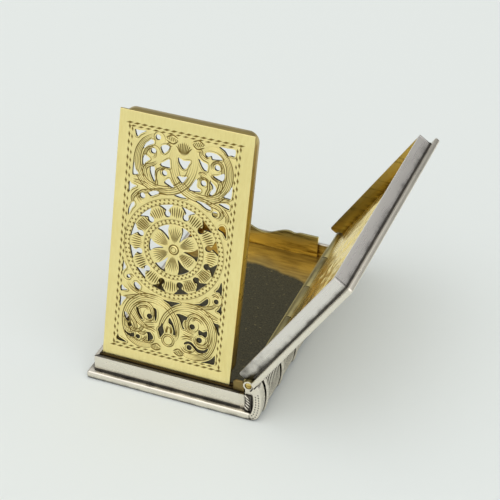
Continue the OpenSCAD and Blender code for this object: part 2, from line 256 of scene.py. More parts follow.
def face_outwards():
    """Turns every face of the active object outwards."""
    bpy.ops.object.mode_set(mode="EDIT")
    bpy.ops.mesh.select_all(action="SELECT")
    bpy.ops.mesh.normals_make_consistent(inside=False)
    bpy.ops.object.mode_set(mode="OBJECT")


def extrude_outline(points, from_y, to_y):
    """Adds a slab with an outline drawn in X and Z, from one Y to another."""
    obj = mesh_piece("slab", [(x, from_y, z) for x, z in points], [list(range(len(points)))])
    bpy.ops.object.mode_set(mode="EDIT")
    bpy.ops.mesh.select_all(action="SELECT")
    bpy.ops.mesh.extrude_region_move(TRANSFORM_OT_translate={"value": (0, to_y - from_y, 0)})
    bpy.ops.object.mode_set(mode="OBJECT")
    face_outwards()
    return obj


def arc(x, z, radius, start, span, steps):
    """Points of an arc round a middle in X and Z."""
    angles = (start + span * i / steps for i in range(steps + 1))
    return [(x + radius * math.cos(a), z + radius * math.sin(a)) for a in angles]


def tube(outer, inner, start, end):
    """Adds a hinge tube with a bore and softened ends."""
    obj = bar(outer, start, end, ends="NOTHING")
    modify(obj, "SOLIDIFY", thickness=outer - inner, offset=-1)
    round_edges(obj, 0.06, 2)
    return obj


def shared(first, length, number, gap):
    """Where each of the tubes that share a hinge starts, and the length of each."""
    each = (length - (number - 1) * gap) / number
    return [first + i * (each + gap) for i in range(number)], each


def paint(obj, number, test=lambda c, n: True):
    """Gives a finish's number to the faces whose middle and normal pass a test, or to all."""
    for face in obj.data.polygons:
        if test(face.center, face.normal):
            face.material_index = number


def dress(pieces, finishes):
    """Gives each of the pieces the same finishes, so that their numbers agree once joined."""
    for piece in pieces:
        for finish in finishes:
            piece.data.materials.append(finish_named(finish))


def settle(obj, name, body, nodes, finishes=(), place=Matrix()):
    """Puts a finished piece in its place in metres, hands it to its body, and hides the solids of its nodes.
    """
    pick(obj)
    obj.name = obj.data.name = name
    dress([obj], finishes)
    obj.matrix_world = Matrix.Scale(MM, 4) @ place
    bpy.ops.object.transform_apply(location=True, rotation=True, scale=True)
    bpy.ops.object.shade_smooth_by_angle(angle=SMOOTH_ANGLE)
    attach(obj, body)
    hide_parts(*nodes)


def lid_place(sizes):
    """Where a piece of the lid goes that was drawn shut around its hinge axis."""
    return Matrix.Translation(LID_AXIS) @ Matrix.Rotation(sizes.lid_open, 4, "Y")


def grille_place(sizes):
    """Where a piece of the grille goes that was drawn shut around its hinge axis."""
    return Matrix.Translation(GRILLE_AXIS) @ Matrix.Rotation(sizes.grille_open, 4, "X")


# Materials

def fill(node, **inputs):
    """Sets or links inputs of a node, each called by its socket's name or by its number."""
    for name, value in inputs.items():
        socket = node.inputs[int(name[1:]) if name[1:].isdigit() else name.replace("_", " ")]
        if isinstance(value, bpy.types.NodeSocket):
            node.id_data.links.new(value, socket)
        elif socket.type == "RGBA":
            socket.default_value = (*value, 1)
        else:
            socket.default_value = value


def add(tree, kind, settings=None, **inputs):
    """Adds a node, sets its properties, and sets or links its inputs."""
    node = tree.nodes.new(kind)
    for name, value in (settings or {}).items():
        setattr(node, name, value)
    fill(node, **inputs)
    return node


def new_material(name):
    """A material with an empty tree, and its shader and object coordinates."""
    material = bpy.data.materials.new(name)
    material.use_nodes = True
    tree = material.node_tree
    tree.nodes.clear()
    shader = add(tree, "ShaderNodeBsdfPrincipled")
    add(tree, "ShaderNodeOutputMaterial", Surface=shader.outputs["BSDF"])
    place = add(tree, "ShaderNodeTexCoord").outputs["Object"]
    return material, tree, shader, place


def silver_finish(name, colours, tone, lean, dim, reach):
    """Polished silver with fine rubbing marks along the walls, and dark tarnish with painted shade in the
    recesses that a cloth doesn't get to; tone is the clean silver, lean the angle that the walls are turned
    by, dim how much darker it is near the lid hinge, and reach how broad the tarnish and painted shade lie,
    in millimetres."""
    material, tree, shader, place = new_material(name)
    # Painted shade with tarnish: the silver darkens towards the dark tarnish colour where the world is hidden
    # from it, in corners and hollows
    recess_shade = add(tree, "ShaderNodeAmbientOcclusion", {"samples": 8}, Distance=reach * MM).outputs["AO"]
    cloud = add(tree, "ShaderNodeTexNoise", Vector=place, Scale=1 / (1.8 * MM), Detail=5).outputs["Fac"]
    worn = add(tree, "ShaderNodeMath", TIMES_PLUS, _0=cloud, _1=0.64, _2=-0.32).outputs[0]
    clean = add(tree, "ShaderNodeMath", PLUS, _0=recess_shade, _1=worn).outputs[0]
    # How near a spot lies to the axis of the lid hinge
    across = add(tree, "ShaderNodeVectorMath", {"operation": "SUBTRACT"},
                 _0=place, _1=LID_AXIS * MM).outputs[0]
    across = add(tree, "ShaderNodeVectorMath", {"operation": "MULTIPLY"},
                 _0=across, _1=(1, 0, 1)).outputs[0]
    away = add(tree, "ShaderNodeVectorMath", {"operation": "LENGTH"}, _0=across).outputs["Value"]
    # Greyer towards the lid hinge, by as much as dim
    near = add(tree, "ShaderNodeMapRange", Value=away, From_Min=1 * MM, From_Max=9 * MM,
               To_Min=dim, To_Max=0.0).outputs[0]
    clean = add(tree, "ShaderNodeMath", {"operation": "SUBTRACT"}, _0=clean, _1=near).outputs[0]
    clean = add(tree, "ShaderNodeMapRange", Value=clean, From_Min=0.5, From_Max=0.88).outputs[0]
    colour = add(tree, "ShaderNodeMix", BLEND, Factor=clean, _6=colours.oxide, _7=tone).outputs[2]
    # Rubbing marks, drawn out along the walls
    upright = add(tree, "ShaderNodeMapping", Vector=place, Rotation=(0, -lean, 0)).outputs[0]
    drawn = add(tree, "ShaderNodeMapping", Vector=upright, Scale=(0.08, 0.08, 1)).outputs[0]
    rub = add(tree, "ShaderNodeTexNoise", Vector=drawn, Scale=1 / (0.3 * MM), Detail=5).outputs["Fac"]
    rough = add(tree, "ShaderNodeMapRange", Value=rub, To_Min=0.14, To_Max=0.46).outputs[0]
    bump = add(tree, "ShaderNodeBump", Strength=0.5, Distance=0.03 * MM, Height=rub).outputs[0]
    fill(shader, Base_Color=colour, Metallic=1, Roughness=rough, Normal=bump)
    return material


def sterling_silver(colours):
    """Sterling silver of the case, worn bright and a little warm."""
    return silver_finish("sterling_silver", colours, colours.silver, 0.0, 0.0, 0.8)


def dimmed_silver(colours):
    """The same silver on the lid walls, cooler, and greyer the nearer it lies to the hinge."""
    return silver_finish("dimmed_silver", colours, linear("#E6E1DA"),
                         bpy.context.scene.vinaigrette_sizes.lid_open, 0.32, 1.0)


def banked_silver(colours):
    """The same silver on the boards, where a broad dark bank of painted shade and tarnish lies along the foot
    of the walls.
    """
    return silver_finish("banked_silver", colours, colours.silver, 0.0, 0.0, 1.9)


def oxide_and_shade_silver(colours):
    """Silver in grooves and sunk plates, dark with sulphide that nobody polishes away, and the same dark
    silver as painted shade in the strips along the foot of the walls.
    """
    material, tree, shader, place = new_material("oxide_and_shade_silver")
    cloud = add(tree, "ShaderNodeTexNoise", Vector=place, Scale=1 / (0.6 * MM), Detail=4).outputs["Fac"]
    colour = add(tree, "ShaderNodeMix", BLEND, Factor=cloud,
                 _6=colours.oxide, _7=linear("#77736C")).outputs[2]
    rough = add(tree, "ShaderNodeMapRange", Value=cloud, To_Min=0.35, To_Max=0.55).outputs[0]
    fill(shader, Base_Color=colour, Metallic=0.9, Roughness=rough)
    return material


def satin_gilding(colours):
    """Pale fire gilding on the grille: satin from fine strokes along the plate, a little greener and duller
    where the gold is thin, and brown at the bottom of the engraved cuts: painted shade there, with old polish
    dried in them."""
    material, tree, shader, place = new_material("satin_gilding")
    stretch = add(tree, "ShaderNodeMapping", Vector=place, Scale=(1, 1, 0.06)).outputs[0]
    stroke = add(tree, "ShaderNodeTexNoise", Vector=stretch, Scale=1 / (0.3 * MM), Detail=5).outputs["Fac"]
    cloud = add(tree, "ShaderNodeTexNoise", Vector=place, Scale=1 / (4 * MM), Detail=3).outputs["Fac"]
    tone = add(tree, "ShaderNodeMath", PLUS, _0=cloud, _1=stroke).outputs[0]
    tone = add(tree, "ShaderNodeMapRange", Value=tone, From_Min=0.7, From_Max=1.3,
               To_Min=0.0, To_Max=0.5).outputs[0]
    colour = add(tree, "ShaderNodeMix", BLEND, Factor=tone,
                 _6=colours.gilding, _7=linear("#EAD68C")).outputs[2]
    # Painted shade in the engraved cuts: the deeper a point lies in a cut, the nearer its colour comes to the
    # engraving colour
    depth = add(tree, "ShaderNodeAttribute", {"attribute_name": CUT}).outputs["Fac"]
    cut_shade = add(tree, "ShaderNodeMapRange", Value=depth, From_Min=0.04, From_Max=0.6).outputs[0]
    colour = add(tree, "ShaderNodeMix", BLEND, Factor=cut_shade, _6=colour, _7=colours.engraving).outputs[2]
    rough = add(tree, "ShaderNodeMapRange", Value=stroke, To_Min=0.26, To_Max=0.44).outputs[0]
    bump = add(tree, "ShaderNodeBump", Strength=0.1, Distance=0.02 * MM, Height=stroke).outputs[0]
    fill(shader, Base_Color=colour, Metallic=1, Roughness=rough, Normal=bump)
    return material


def inner_gilding(name, clean_colour, stain_colour, gloss, wave, streak=2.1, dirt=0.0):
    """Gilding inside the case: deeper and browner than on the grille, with stains and painted shade in the
    corners;
    streak is how strong the stains are, which are drawn out along the walls, dirt how much of the gilding
    they take, gloss its roughness where clean, and wave how high it ripples, in millimetres."""
    material, tree, shader, place = new_material(name)
    # Painted shade in the corners, where little of the world is seen
    recess_shade = add(tree, "ShaderNodeAmbientOcclusion", {"samples": 8}, Distance=0.8 * MM).outputs["AO"]
    drawn = add(tree, "ShaderNodeMapping", Vector=place, Scale=(0.13, 0.13, 1)).outputs[0]
    stain = add(tree, "ShaderNodeTexNoise", Vector=drawn, Scale=1 / (0.5 * MM), Detail=4).outputs["Fac"]
    mixed = add(tree, "ShaderNodeMath", TIMES_PLUS, _0=stain, _1=streak, _2=-streak / 2 - dirt).outputs[0]
    clean = add(tree, "ShaderNodeMath", PLUS, _0=recess_shade, _1=mixed).outputs[0]
    clean = add(tree, "ShaderNodeMapRange", Value=clean, From_Min=0.15, From_Max=0.85).outputs[0]
    colour = add(tree, "ShaderNodeMix", BLEND, Factor=clean, _6=stain_colour, _7=clean_colour).outputs[2]
    rough = add(tree, "ShaderNodeMapRange", Value=stain, To_Min=gloss, To_Max=gloss + 0.22).outputs[0]
    ripple = add(tree, "ShaderNodeTexNoise", Vector=place, Scale=1 / (0.9 * MM), Detail=2).outputs["Fac"]
    bump = add(tree, "ShaderNodeBump", Distance=wave * MM, Height=ripple).outputs[0]
    fill(shader, Base_Color=colour, Metallic=1, Roughness=rough, Normal=bump)
    return material


def old_gilding(colours):
    """Old gilding on the rims of the tray, wiped along them, so that it is streaked with brown."""
    return inner_gilding("old_gilding", colours.old_gilding, linear("#987A3A"), 0.24, 0.03, 2.8, 0.24)


def wall_gilding(colours):
    """Old gilding inside the lid walls: smooth, olive brown where it is stained."""
    return inner_gilding("wall_gilding", linear("#D2B55E"), linear("#806628"), 0.26, 0.03)


def rim_gilding(colours):
    """Gilding on the edges of the grille, rubbed even by handling."""
    return inner_gilding("rim_gilding", linear("#CDB468"), linear("#A08846"), 0.2, 0.01)


def lining_gilding(colours):
    """Brighter gilding on the sheet in the lid, thin enough to ripple, so that it glints."""
    return inner_gilding("lining_gilding", linear("#FCE07A"), linear("#DAB448"), 0.14, 0.02)


def shaded_olive_gilding(colours):
    """Dark olive gilding along the lid hinge: painted shade and a painted dark reflection where the hinge
    lies between tray and lid.
    """
    return inner_gilding("shaded_olive_gilding", linear("#B2A672"), linear("#6E6446"), 0.22, 0.02)


def shaded_brown_gilding(colours):
    """Gilding round the grille hinge and on the walls of the plate's openings, painted dark brown for the
    shade that lies there.
    """
    return inner_gilding("shaded_brown_gilding", linear("#45371F"), linear("#1A140C"), 0.3, 0.02)


def shaded_stained_gilding(colours):
    """Gilding on the cheek beside the hinge, mottled half clean and half brown, and dark with painted shade.
    """
    return inner_gilding("shaded_stained_gilding", linear("#8C784A"), linear("#42351F"), 0.3, 0.05)


def filmed_gilding(colours):
    """Gilding of the tray floor under a dull olive film, speckled, with clean gilding left at the head
    end."""
    material, tree, shader, place = new_material("filmed_gilding")
    axes = add(tree, "ShaderNodeSeparateXYZ", Vector=place).outputs
    cloud = add(tree, "ShaderNodeTexNoise", Vector=place, Scale=1 / (3 * MM), Detail=4).outputs["Fac"]
    # The film ends in a curve about 6 mm short of the head wall
    bow = add(tree, "ShaderNodeMath", {"operation": "MULTIPLY"}, _0=axes["X"], _1=axes["X"]).outputs[0]
    edge = add(tree, "ShaderNodeMath", TIMES_PLUS, _0=bow, _1=26.0, _2=axes["Y"]).outputs[0]
    edge = add(tree, "ShaderNodeMath", TIMES_PLUS, _0=cloud, _1=2 * MM, _2=edge).outputs[0]
    clean = add(tree, "ShaderNodeMapRange", Value=edge, From_Min=13.0 * MM, From_Max=13.7 * MM).outputs[0]
    # The film, with fine specks and coarser grit
    speck = add(tree, "ShaderNodeTexNoise", Vector=place, Scale=1 / (0.22 * MM), Detail=3).outputs["Fac"]
    dull = add(tree, "ShaderNodeMapRange", Value=speck, From_Min=0.35, From_Max=0.75).outputs[0]
    film = add(tree, "ShaderNodeMix", BLEND, Factor=dull, _6=colours.film, _7=linear("#5C5742")).outputs[2]
    grit = add(tree, "ShaderNodeTexNoise", Vector=place, Scale=1 / (0.45 * MM), Detail=2).outputs["Fac"]
    grit = add(tree, "ShaderNodeMapRange", Value=grit, From_Min=0.65, From_Max=0.75).outputs[0]
    film = add(tree, "ShaderNodeMix", BLEND, Factor=grit, _6=film, _7=linear("#766E4E")).outputs[2]
    # The clean end, wiped across the tray
    drawn = add(tree, "ShaderNodeMapping", Vector=place, Scale=(0.2, 1, 1)).outputs[0]
    streak = add(tree, "ShaderNodeTexNoise", Vector=drawn, Scale=1 / (0.6 * MM), Detail=4).outputs["Fac"]
    streak = add(tree, "ShaderNodeMapRange", Value=streak, From_Min=0.35, From_Max=0.65).outputs[0]
    gold = add(tree, "ShaderNodeMix", BLEND, Factor=streak,
               _6=linear("#8C7338"), _7=linear("#B4984F")).outputs[2]
    colour = add(tree, "ShaderNodeMix", BLEND, Factor=clean, _6=film, _7=gold).outputs[2]
    rough = add(tree, "ShaderNodeMapRange", Value=clean, To_Min=0.5, To_Max=0.28).outputs[0]
    bump = add(tree, "ShaderNodeBump", Strength=0.3, Distance=0.03 * MM, Height=speck).outputs[0]
    fill(shader, Base_Color=colour, Metallic=0.8, Roughness=rough, Normal=bump)
    return material


def finish_named(name):
    """The material of that name, made the first time it is asked for."""
    makers = {"silver": sterling_silver, "dimmed": dimmed_silver, "banked": banked_silver,
              "oxide": oxide_and_shade_silver, "gilt": satin_gilding, "old": old_gilding, "wall": wall_gilding,
              "rim": rim_gilding, "lining": lining_gilding, "dull": shaded_olive_gilding,
              "brown": shaded_brown_gilding, "stained": shaded_stained_gilding, "film": filmed_gilding}
    maker = makers[name]
    return bpy.data.materials.get(maker.__name__) or maker(bpy.context.scene.vinaigrette_finishes)


# Pieces

class VINAIGRETTE_OT_boards(bpy.types.Operator):
    """Make the bottom board and the lid board, with rounded edges"""

    bl_idname = "vinaigrette.boards"
    bl_label = "Boards"

    def execute(self, context):
        sizes = context.scene.vinaigrette_sizes
        radius, segments, finishes = sizes.board_round / MM, 5, ("silver", "banked")
        spine_x = BOARD_HIGH.x - 0.01
        base = block(BOARD_LOW, BOARD_HIGH)
        soften(base, radius, segments, lambda a, b: not (a.x > spine_x and b.x > spine_x))
        # The top of the bottom board takes the silver with a broad bank of painted shade and tarnish at the
        # foot of the walls
        paint(base, 1, lambda c, n: n.z > 0.9)
        settle(base, "bottom_board", "base", ["base_board"], finishes)

        heel, reach, thick = -0.45, -22.2, 0.75
        lid = block((reach, BOARD_LOW.y, 0), (heel, BOARD_HIGH.y, thick))
        soften(lid, radius, segments, lambda a, b: not (a.x > heel - 0.01 and b.x > heel - 0.01))
        cut(lid, hinge_room(TUBE_ROOM, Vector()))
        # The inside of the lid board takes the same painted shade and tarnish at the foot of the walls
        paint(lid, 1, lambda c, n: n.z < -0.9)
        settle(lid, "cover_board", "lid", ["lid_board"], finishes, lid_place(sizes))
        return {"FINISHED"}


class VINAIGRETTE_OT_tray_walls(bpy.types.Operator):
    """Make the tray walls as one folded strip, silver outside and gilt inside"""

    bl_idname = "vinaigrette.tray_walls"
    bl_label = "Tray Walls"

    def execute(self, context):
        sizes = context.scene.vinaigrette_sizes
        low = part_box("base_tail_wall")[0] / MM
        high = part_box("base_head_wall")[1] / MM
        thick, buried = 0.5, 0.1
        ring = block(low, high)
        cut(ring, block((low.x + thick, low.y + thick, low.z - 1),
                        (high.x - thick, high.y - thick, high.z + 1)))
        soften(ring, sizes.wall_round / MM, 3,
               lambda a, b: min(a.z, b.z) > high.z - 0.01 or abs(a.z - b.z) > 0.5)
        middle = (low + high) / 2
        paint(ring, 1, lambda c, n: abs(n.z) < 0.2
              and n.x * (c.x - middle.x) + n.y * (c.y - middle.y) < 0)
        paint(ring, 3, lambda c, n: n.z > 0.3 and c.y < low.y + thick)
        # The hinge side keeps a ledge under the lid hinge, in the dark olive gilding that paints the shade
        # along the hinge
        ledge = block((high.x - thick - PROUD, low.y + thick, high.z - buried),
                      (high.x + PROUD, high.y - thick, high.z + PROUD))
        paint(ledge, 2)
        # A dark strip of painted shade, in the dark silver, runs along the foot of the walls
        shade_seam = 0.3
        foot = block((low.x - PROUD, low.y - PROUD, low.z),
                     (high.x, high.y + PROUD, low.z + shade_seam))
        cut(foot, block((low.x + buried, low.y + buried, low.z - 1),
                        (high.x + 1, high.y - buried, low.z + 1)))
        paint(foot, 3)
        pieces = (ring, ledge, foot)
        dress(pieces, ("silver", "old", "dull", "oxide"))
        settle(join(*pieces), "tray_walls", "base",
               ["base_tail_wall", "base_head_wall", "base_fore_wall", "base_hinge_wall"])
        return {"FINISHED"}


class VINAIGRETTE_OT_tray_floor(bpy.types.Operator):
    """Make the gilt floor of the tray, a thin sheet that is not quite flat"""

    bl_idname = "vinaigrette.tray_floor"
    bl_label = "Tray Floor"

    def execute(self, context):
        low, high = (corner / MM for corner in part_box("tray_floor"))
        span = high - low
        sink, swell, thin = 0.045, 0.012, 0.6
        bpy.ops.mesh.primitive_grid_add(x_subdivisions=40, y_subdivisions=72, size=1)
        sheet = bpy.context.object
        for point in sheet.data.vertices:
            x, y = point.co.x, point.co.y
            sag = math.cos(math.pi * x) * math.cos(math.pi * y)
            wave = math.sin(11 * x + 3 * y) * math.sin(14 * y + 2)
            point.co = (low.x + (x + 0.5) * span.x, low.y + (y + 0.5) * span.y,
                        high.z - sink * sag + swell * wave * sag)
        modify(sheet, "SOLIDIFY", thickness=span.z * thin, offset=-1)
        settle(sheet, "tray_floor_sheet", "base", ["tray_floor"], ["film"])
        return {"FINISHED"}


class VINAIGRETTE_OT_rims(bpy.types.Operator):
    """Make the wavy tongue at the head end and the bezel at the tail end"""

    bl_idname = "vinaigrette.rims"
    bl_label = "Tongue and Bezel"

    def execute(self, context):
        low, high = (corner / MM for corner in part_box("head_tongue"))
        middle, half = (low.x + high.x) / 2, (high.x - low.x) / 2
        notch, crest, crest_at, dip_w, dip_d = 0.15, high.z - WALL_TOP, 3.8, 1.8, 0.2

        def edge(d):
            """Height of the tongue above the wall, at a distance from its middle."""
            if d < crest_at:
                return notch + (crest - notch) * (1 - math.cos(math.pi * d / crest_at)) / 2
            if d < crest_at + dip_w:
                return crest - dip_d * (1 - math.cos(math.tau * (d - crest_at) / dip_w)) / 2
            return crest

        steps = 60
        outline = [(middle + half, low.z), (middle - half, low.z)]
        outline += [(middle + half * i / steps, WALL_TOP + edge(abs(half * i / steps)))
                    for i in range(-steps, steps + 1)]
        tongue = extrude_outline(outline, low.y, high.y)
        round_edges(tongue, 0.03, 2, 60)
        # The upward faces of the tongue take the dark olive gilding: painted shade in place of a highlight
        # along its top edge
        paint(tongue, 1, lambda c, n: n.z > 0.4)
        settle(tongue, "wavy_tongue", "base", ["head_tongue"], ["old", "dull"])

        low, high = (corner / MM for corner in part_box("tail_bezel"))
        strip = block(low, (high.x, high.y, WALL_TOP + 0.2))
        round_edges(strip, 0.06, 2)
        # The cheek beside the lid hinge, a plate with round corners
        left, right, foot, corner = high.x - 0.75, high.x + 0.85, WALL_TOP - 0.05, 0.5
        outline = [(left, foot), (right, foot)]
        for x, turn in ((right - corner, 0), (left + corner, math.pi / 2)):
            outline += arc(x, high.z - corner, corner, turn, math.pi / 2, 8)
        cheek = extrude_outline(outline, low.y - 0.1, high.y)
        round_edges(cheek, 0.12, 3, 60)
        paint(cheek, 1)
        # The bezel strip is dark brown and the cheek mottled brown, both painted shade under the grille and
        # beside the hinge
        dress((strip, cheek), ("brown", "stained"))
        settle(join(strip, cheek), "tail_strip", "base", ["tail_bezel"])
        return {"FINISHED"}


def spine_section(offset):
    """Outline of the spine's back in X and Z, moved outwards by offset: a broad arc between two corner
    arcs."""
    top = WALL_TOP + 2.7
    foot, middle, corner, bulge = BOARD_HIGH.x, top / 2, 1.3, 7.0
    rise = middle - corner
    reach = math.sqrt((bulge - corner) ** 2 - rise ** 2)
    turn = math.atan2(rise, reach)
    quarter = math.pi / 2
    points = arc(foot, corner, corner + offset, -quarter, quarter - turn, 10)
    points += arc(foot - reach, middle, bulge + offset, -turn, 2 * turn, 12)[1:-1]
    points += arc(foot, top - corner, corner + offset, turn, quarter - turn, 10)
    return [(x, max(0, z)) for x, z in points]


def spaced(line, first, step):
    """Points along a line a step apart, each with the line's direction there."""
    spots, left = [], first
    for a, b in zip(line, line[1:]):
        span = (b - a).length
        while left < span:
            spots.append((a.lerp(b, left / span), b - a))
            left += step
        left -= span
    return spots


class VINAIGRETTE_OT_spine(bpy.types.Operator):
    """Make the rounded spine, with end bands, raised bands and reeded panels between them"""

    bl_idname = "vinaigrette.spine"
    bl_label = "Spine"

    def execute(self, context):
        sizes = context.scene.vinaigrette_sizes
        end, block_end, margin = BOARD_HIGH.y - 0.09, 18.0, 1.45
        half_band, gap = 0.33, 0.32
        high, low = sizes.band_height / MM, -sizes.rib_depth / MM
        bands = [-block_end + margin + i * (2 * block_end - 2 * margin) / 6 for i in range(7)]
        # Stations along the spine and how far each stands out
        end_band = [(-end, -0.06), (-end + 0.06, 0.02), (-end + 0.2, 0.06),
                    (-17.45, 0.06), (-17.3, 0.02), (-17.24, low)]
        rib_profile = ((-0.14, low), (0.14, low), (0.28, -0.03), (0.5, 0.03), (0.72, -0.03))
        stations = list(end_band)
        for i, band in enumerate(bands):
            stations += [(band - half_band - 0.03, low), (band - half_band, 0.08),
                         (band - 0.22, high - 0.02), (band, high), (band + 0.22, high - 0.02),
                         (band + half_band, 0.08), (band + half_band + 0.03, low)]
            if i < len(bands) - 1:
                start, stop = band + half_band + gap, bands[i + 1] - half_band - gap
                ribs = round((stop - start) / (sizes.rib_pitch / MM))
                pitch = (stop - start) / ribs
                for rib in range(ribs):
                    at = start + rib * pitch
                    stations += [(at + share * pitch, out) for share, out in rib_profile]
                stations.append((stop - 0.14 * pitch, low))
        stations += [(-y, offset) for y, offset in reversed(end_band)]
        # Inside of the shell, up to the bed of the hinge
        foot, bed = BOARD_HIGH.x, WALL_TOP + 1.2
        inner = [(foot, bed)] + [(x, min(z, bed)) for x, z in reversed(spine_section(-1.0)) if z < bed]
        points, faces = [], []
        for y, offset in stations:
            points += [(x, y, z) for x, z in spine_section(offset) + inner]
        outer = len(spine_section(0))
        count = outer + len(inner)
        for row in range(len(stations) - 1):
            for i in range(count):
                a, b = row * count + i, row * count + (i + 1) % count
                faces.append((a, b, b + count, a + count))
        faces.append(list(range(count)))
        faces.append([len(points) - count + i for i in reversed(range(count))])
        shell = mesh_piece("shell", points, faces)
        face_outwards()
        for face in shell.data.polygons[:(len(stations) - 1) * count]:
            row, place = divmod(face.index, count)
            if place < outer - 1 and stations[row][1] + stations[row + 1][1] < low:
                face.material_index = 1
        # Room for the lid board, with a little play, and for the hinge's tubes
        far, heel, top, bed_radius = 60, -0.39, 0.81, 0.72
        room = block((-far, -far, -far), (heel, far, top))
        room.data.transform(lid_place(sizes))
        cut(shell, room)
        cut(shell, hinge_room(bed_radius, LID_AXIS))
        # Two rows of punched marks round each end
        pieces = [shell]
        for inset, first in ((0.3, 0.2), (0.7, 0.4)):
            line = [Vector((x, 0, z)) for x, z in spine_section(-inset) if z < bed]
            for spot, along in spaced(line, first, 0.4):
                turn = Matrix.Rotation(-math.atan2(along.z, along.x), 4, "Y")
                for side in (-1, 1):
                    mark = pellet(12, 8, Matrix.Translation((spot.x, side * end, spot.z)) @ turn
                                  @ Matrix.Diagonal((0.11, 0.035, 0.08, 1)))
                    paint(mark, 1)
                    pieces.append(mark)
        dress(pieces, ("silver", "oxide"))
        settle(join(*pieces), "reeded_spine", "base", ["spine_shell", "spine_bands"])
        return {"FINISHED"}


class VINAIGRETTE_OT_spine_ends(bpy.types.Operator):
    """Make the sunk plates in the spine's ends, each with a beaded headband"""

    bl_idname = "vinaigrette.spine_ends"
    bl_label = "Spine Ends"

    def execute(self, context):
        count = context.scene.vinaigrette_sizes.headband_beads
        # The plate lies flush with the tray's end wall and steps up beside the hinge
        front, back, tuck, step_x = 18.01, 17.6, 0.15, 10.4
        bed_left, bed_right, bed_foot, bed_top, bed_thick = 10.45, 11.3, 1.02, 3.4, 0.22
        bead_x, bow, bead_foot, rise, bead_out = 10.68, 0.25, 1.1, 2.3, 0.2
        turn = Matrix.Rotation(math.radians(38), 4, "Y") @ Matrix.Diagonal((0.44, 0.16, 0.12, 1))
        for node, side in (("spine_cap_tail", -1), ("spine_cap_head", 1)):
            low, high = (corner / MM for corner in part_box(node))
            left, top, face = low.x - tuck, high.z, side * front
            inner = [(x, min(z, top)) for x, z in spine_section(-1.0) if z < top]
            outline = [(left, low.z), *inner, (inner[-1][0] - 0.2, top), (step_x, top),
                       (step_x, WALL_TOP), (left, WALL_TOP)]
            plate = extrude_outline(outline, *sorted((face, side * back)))
            cut(plate, hinge_room(TUBE_ROOM, LID_AXIS))
            near, far = sorted((face, face + side * bed_thick))
            bed = block((bed_left, near, bed_foot), (bed_right, far, bed_top))
            paint(bed, 1)
            pieces = [plate, bed]
            for i in range(count):
                t = (i + 0.5) / count
                spot = (bead_x + bow * math.sin(math.pi * t), face + side * bead_out, bead_foot + t * rise)
                pieces.append(pellet(16, 10, Matrix.Translation(spot) @ turn))
            dress(pieces, ("silver", "oxide"))
            settle(join(*pieces), node.replace("spine_cap", "headband"), "base", [node])
        return {"FINISHED"}


class VINAIGRETTE_OT_lid_hinge(bpy.types.Operator):
    """Make the tubes and the gilt pin of the lid hinge"""

    bl_idname = "vinaigrette.lid_hinge"
    bl_label = "Lid Hinge"

    def execute(self, context):
        sizes = context.scene.vinaigrette_sizes
        place = Matrix.Translation(LID_AXIS)
        length, radius, pin = 37.0, 0.7, 0.46
        half = length / 2
        starts, each = shared(-half, length, 5, 0.1)
        fixed = join(*[tube(radius, pin, (0, y, 0), (0, y + each, 0)) for y in starts[0::2]])
        # The middle of the spine's tubes and all of the lid's tubes take the dark olive gilding, painted
        # shade along the hinge
        paint(fixed, 1, lambda c, n: abs(c.y) < half - 0.03 and abs(n.y) < 0.5)
        settle(fixed, "spine_hinge_tubes", "base", ["spine_knuckles"], ["silver", "dull"], place)
        turning = [tube(radius, pin + TUBE_PLAY, (0, y, 0), (0, y + each, 0)) for y in starts[1::2]]
        settle(join(*turning), "lid_hinge_tubes", "lid", ["lid_knuckles"], ["dull"],
               lid_place(sizes))
        rod = bar(pin, (0, -half + 0.08, 0), (0, half - 0.08, 0))
        round_edges(rod, 0.1, 4)
        settle(rod, "lid_pin", "base", ["lid_hinge_pin"], ["old"], place)
        return {"FINISHED"}


def seamed(wall, foot):
    """A lid wall joined with the dark strip of painted shade at its foot."""
    paint(foot, 2)
    dress((wall, foot), ("dimmed", "wall", "oxide"))
    return join(wall, foot)


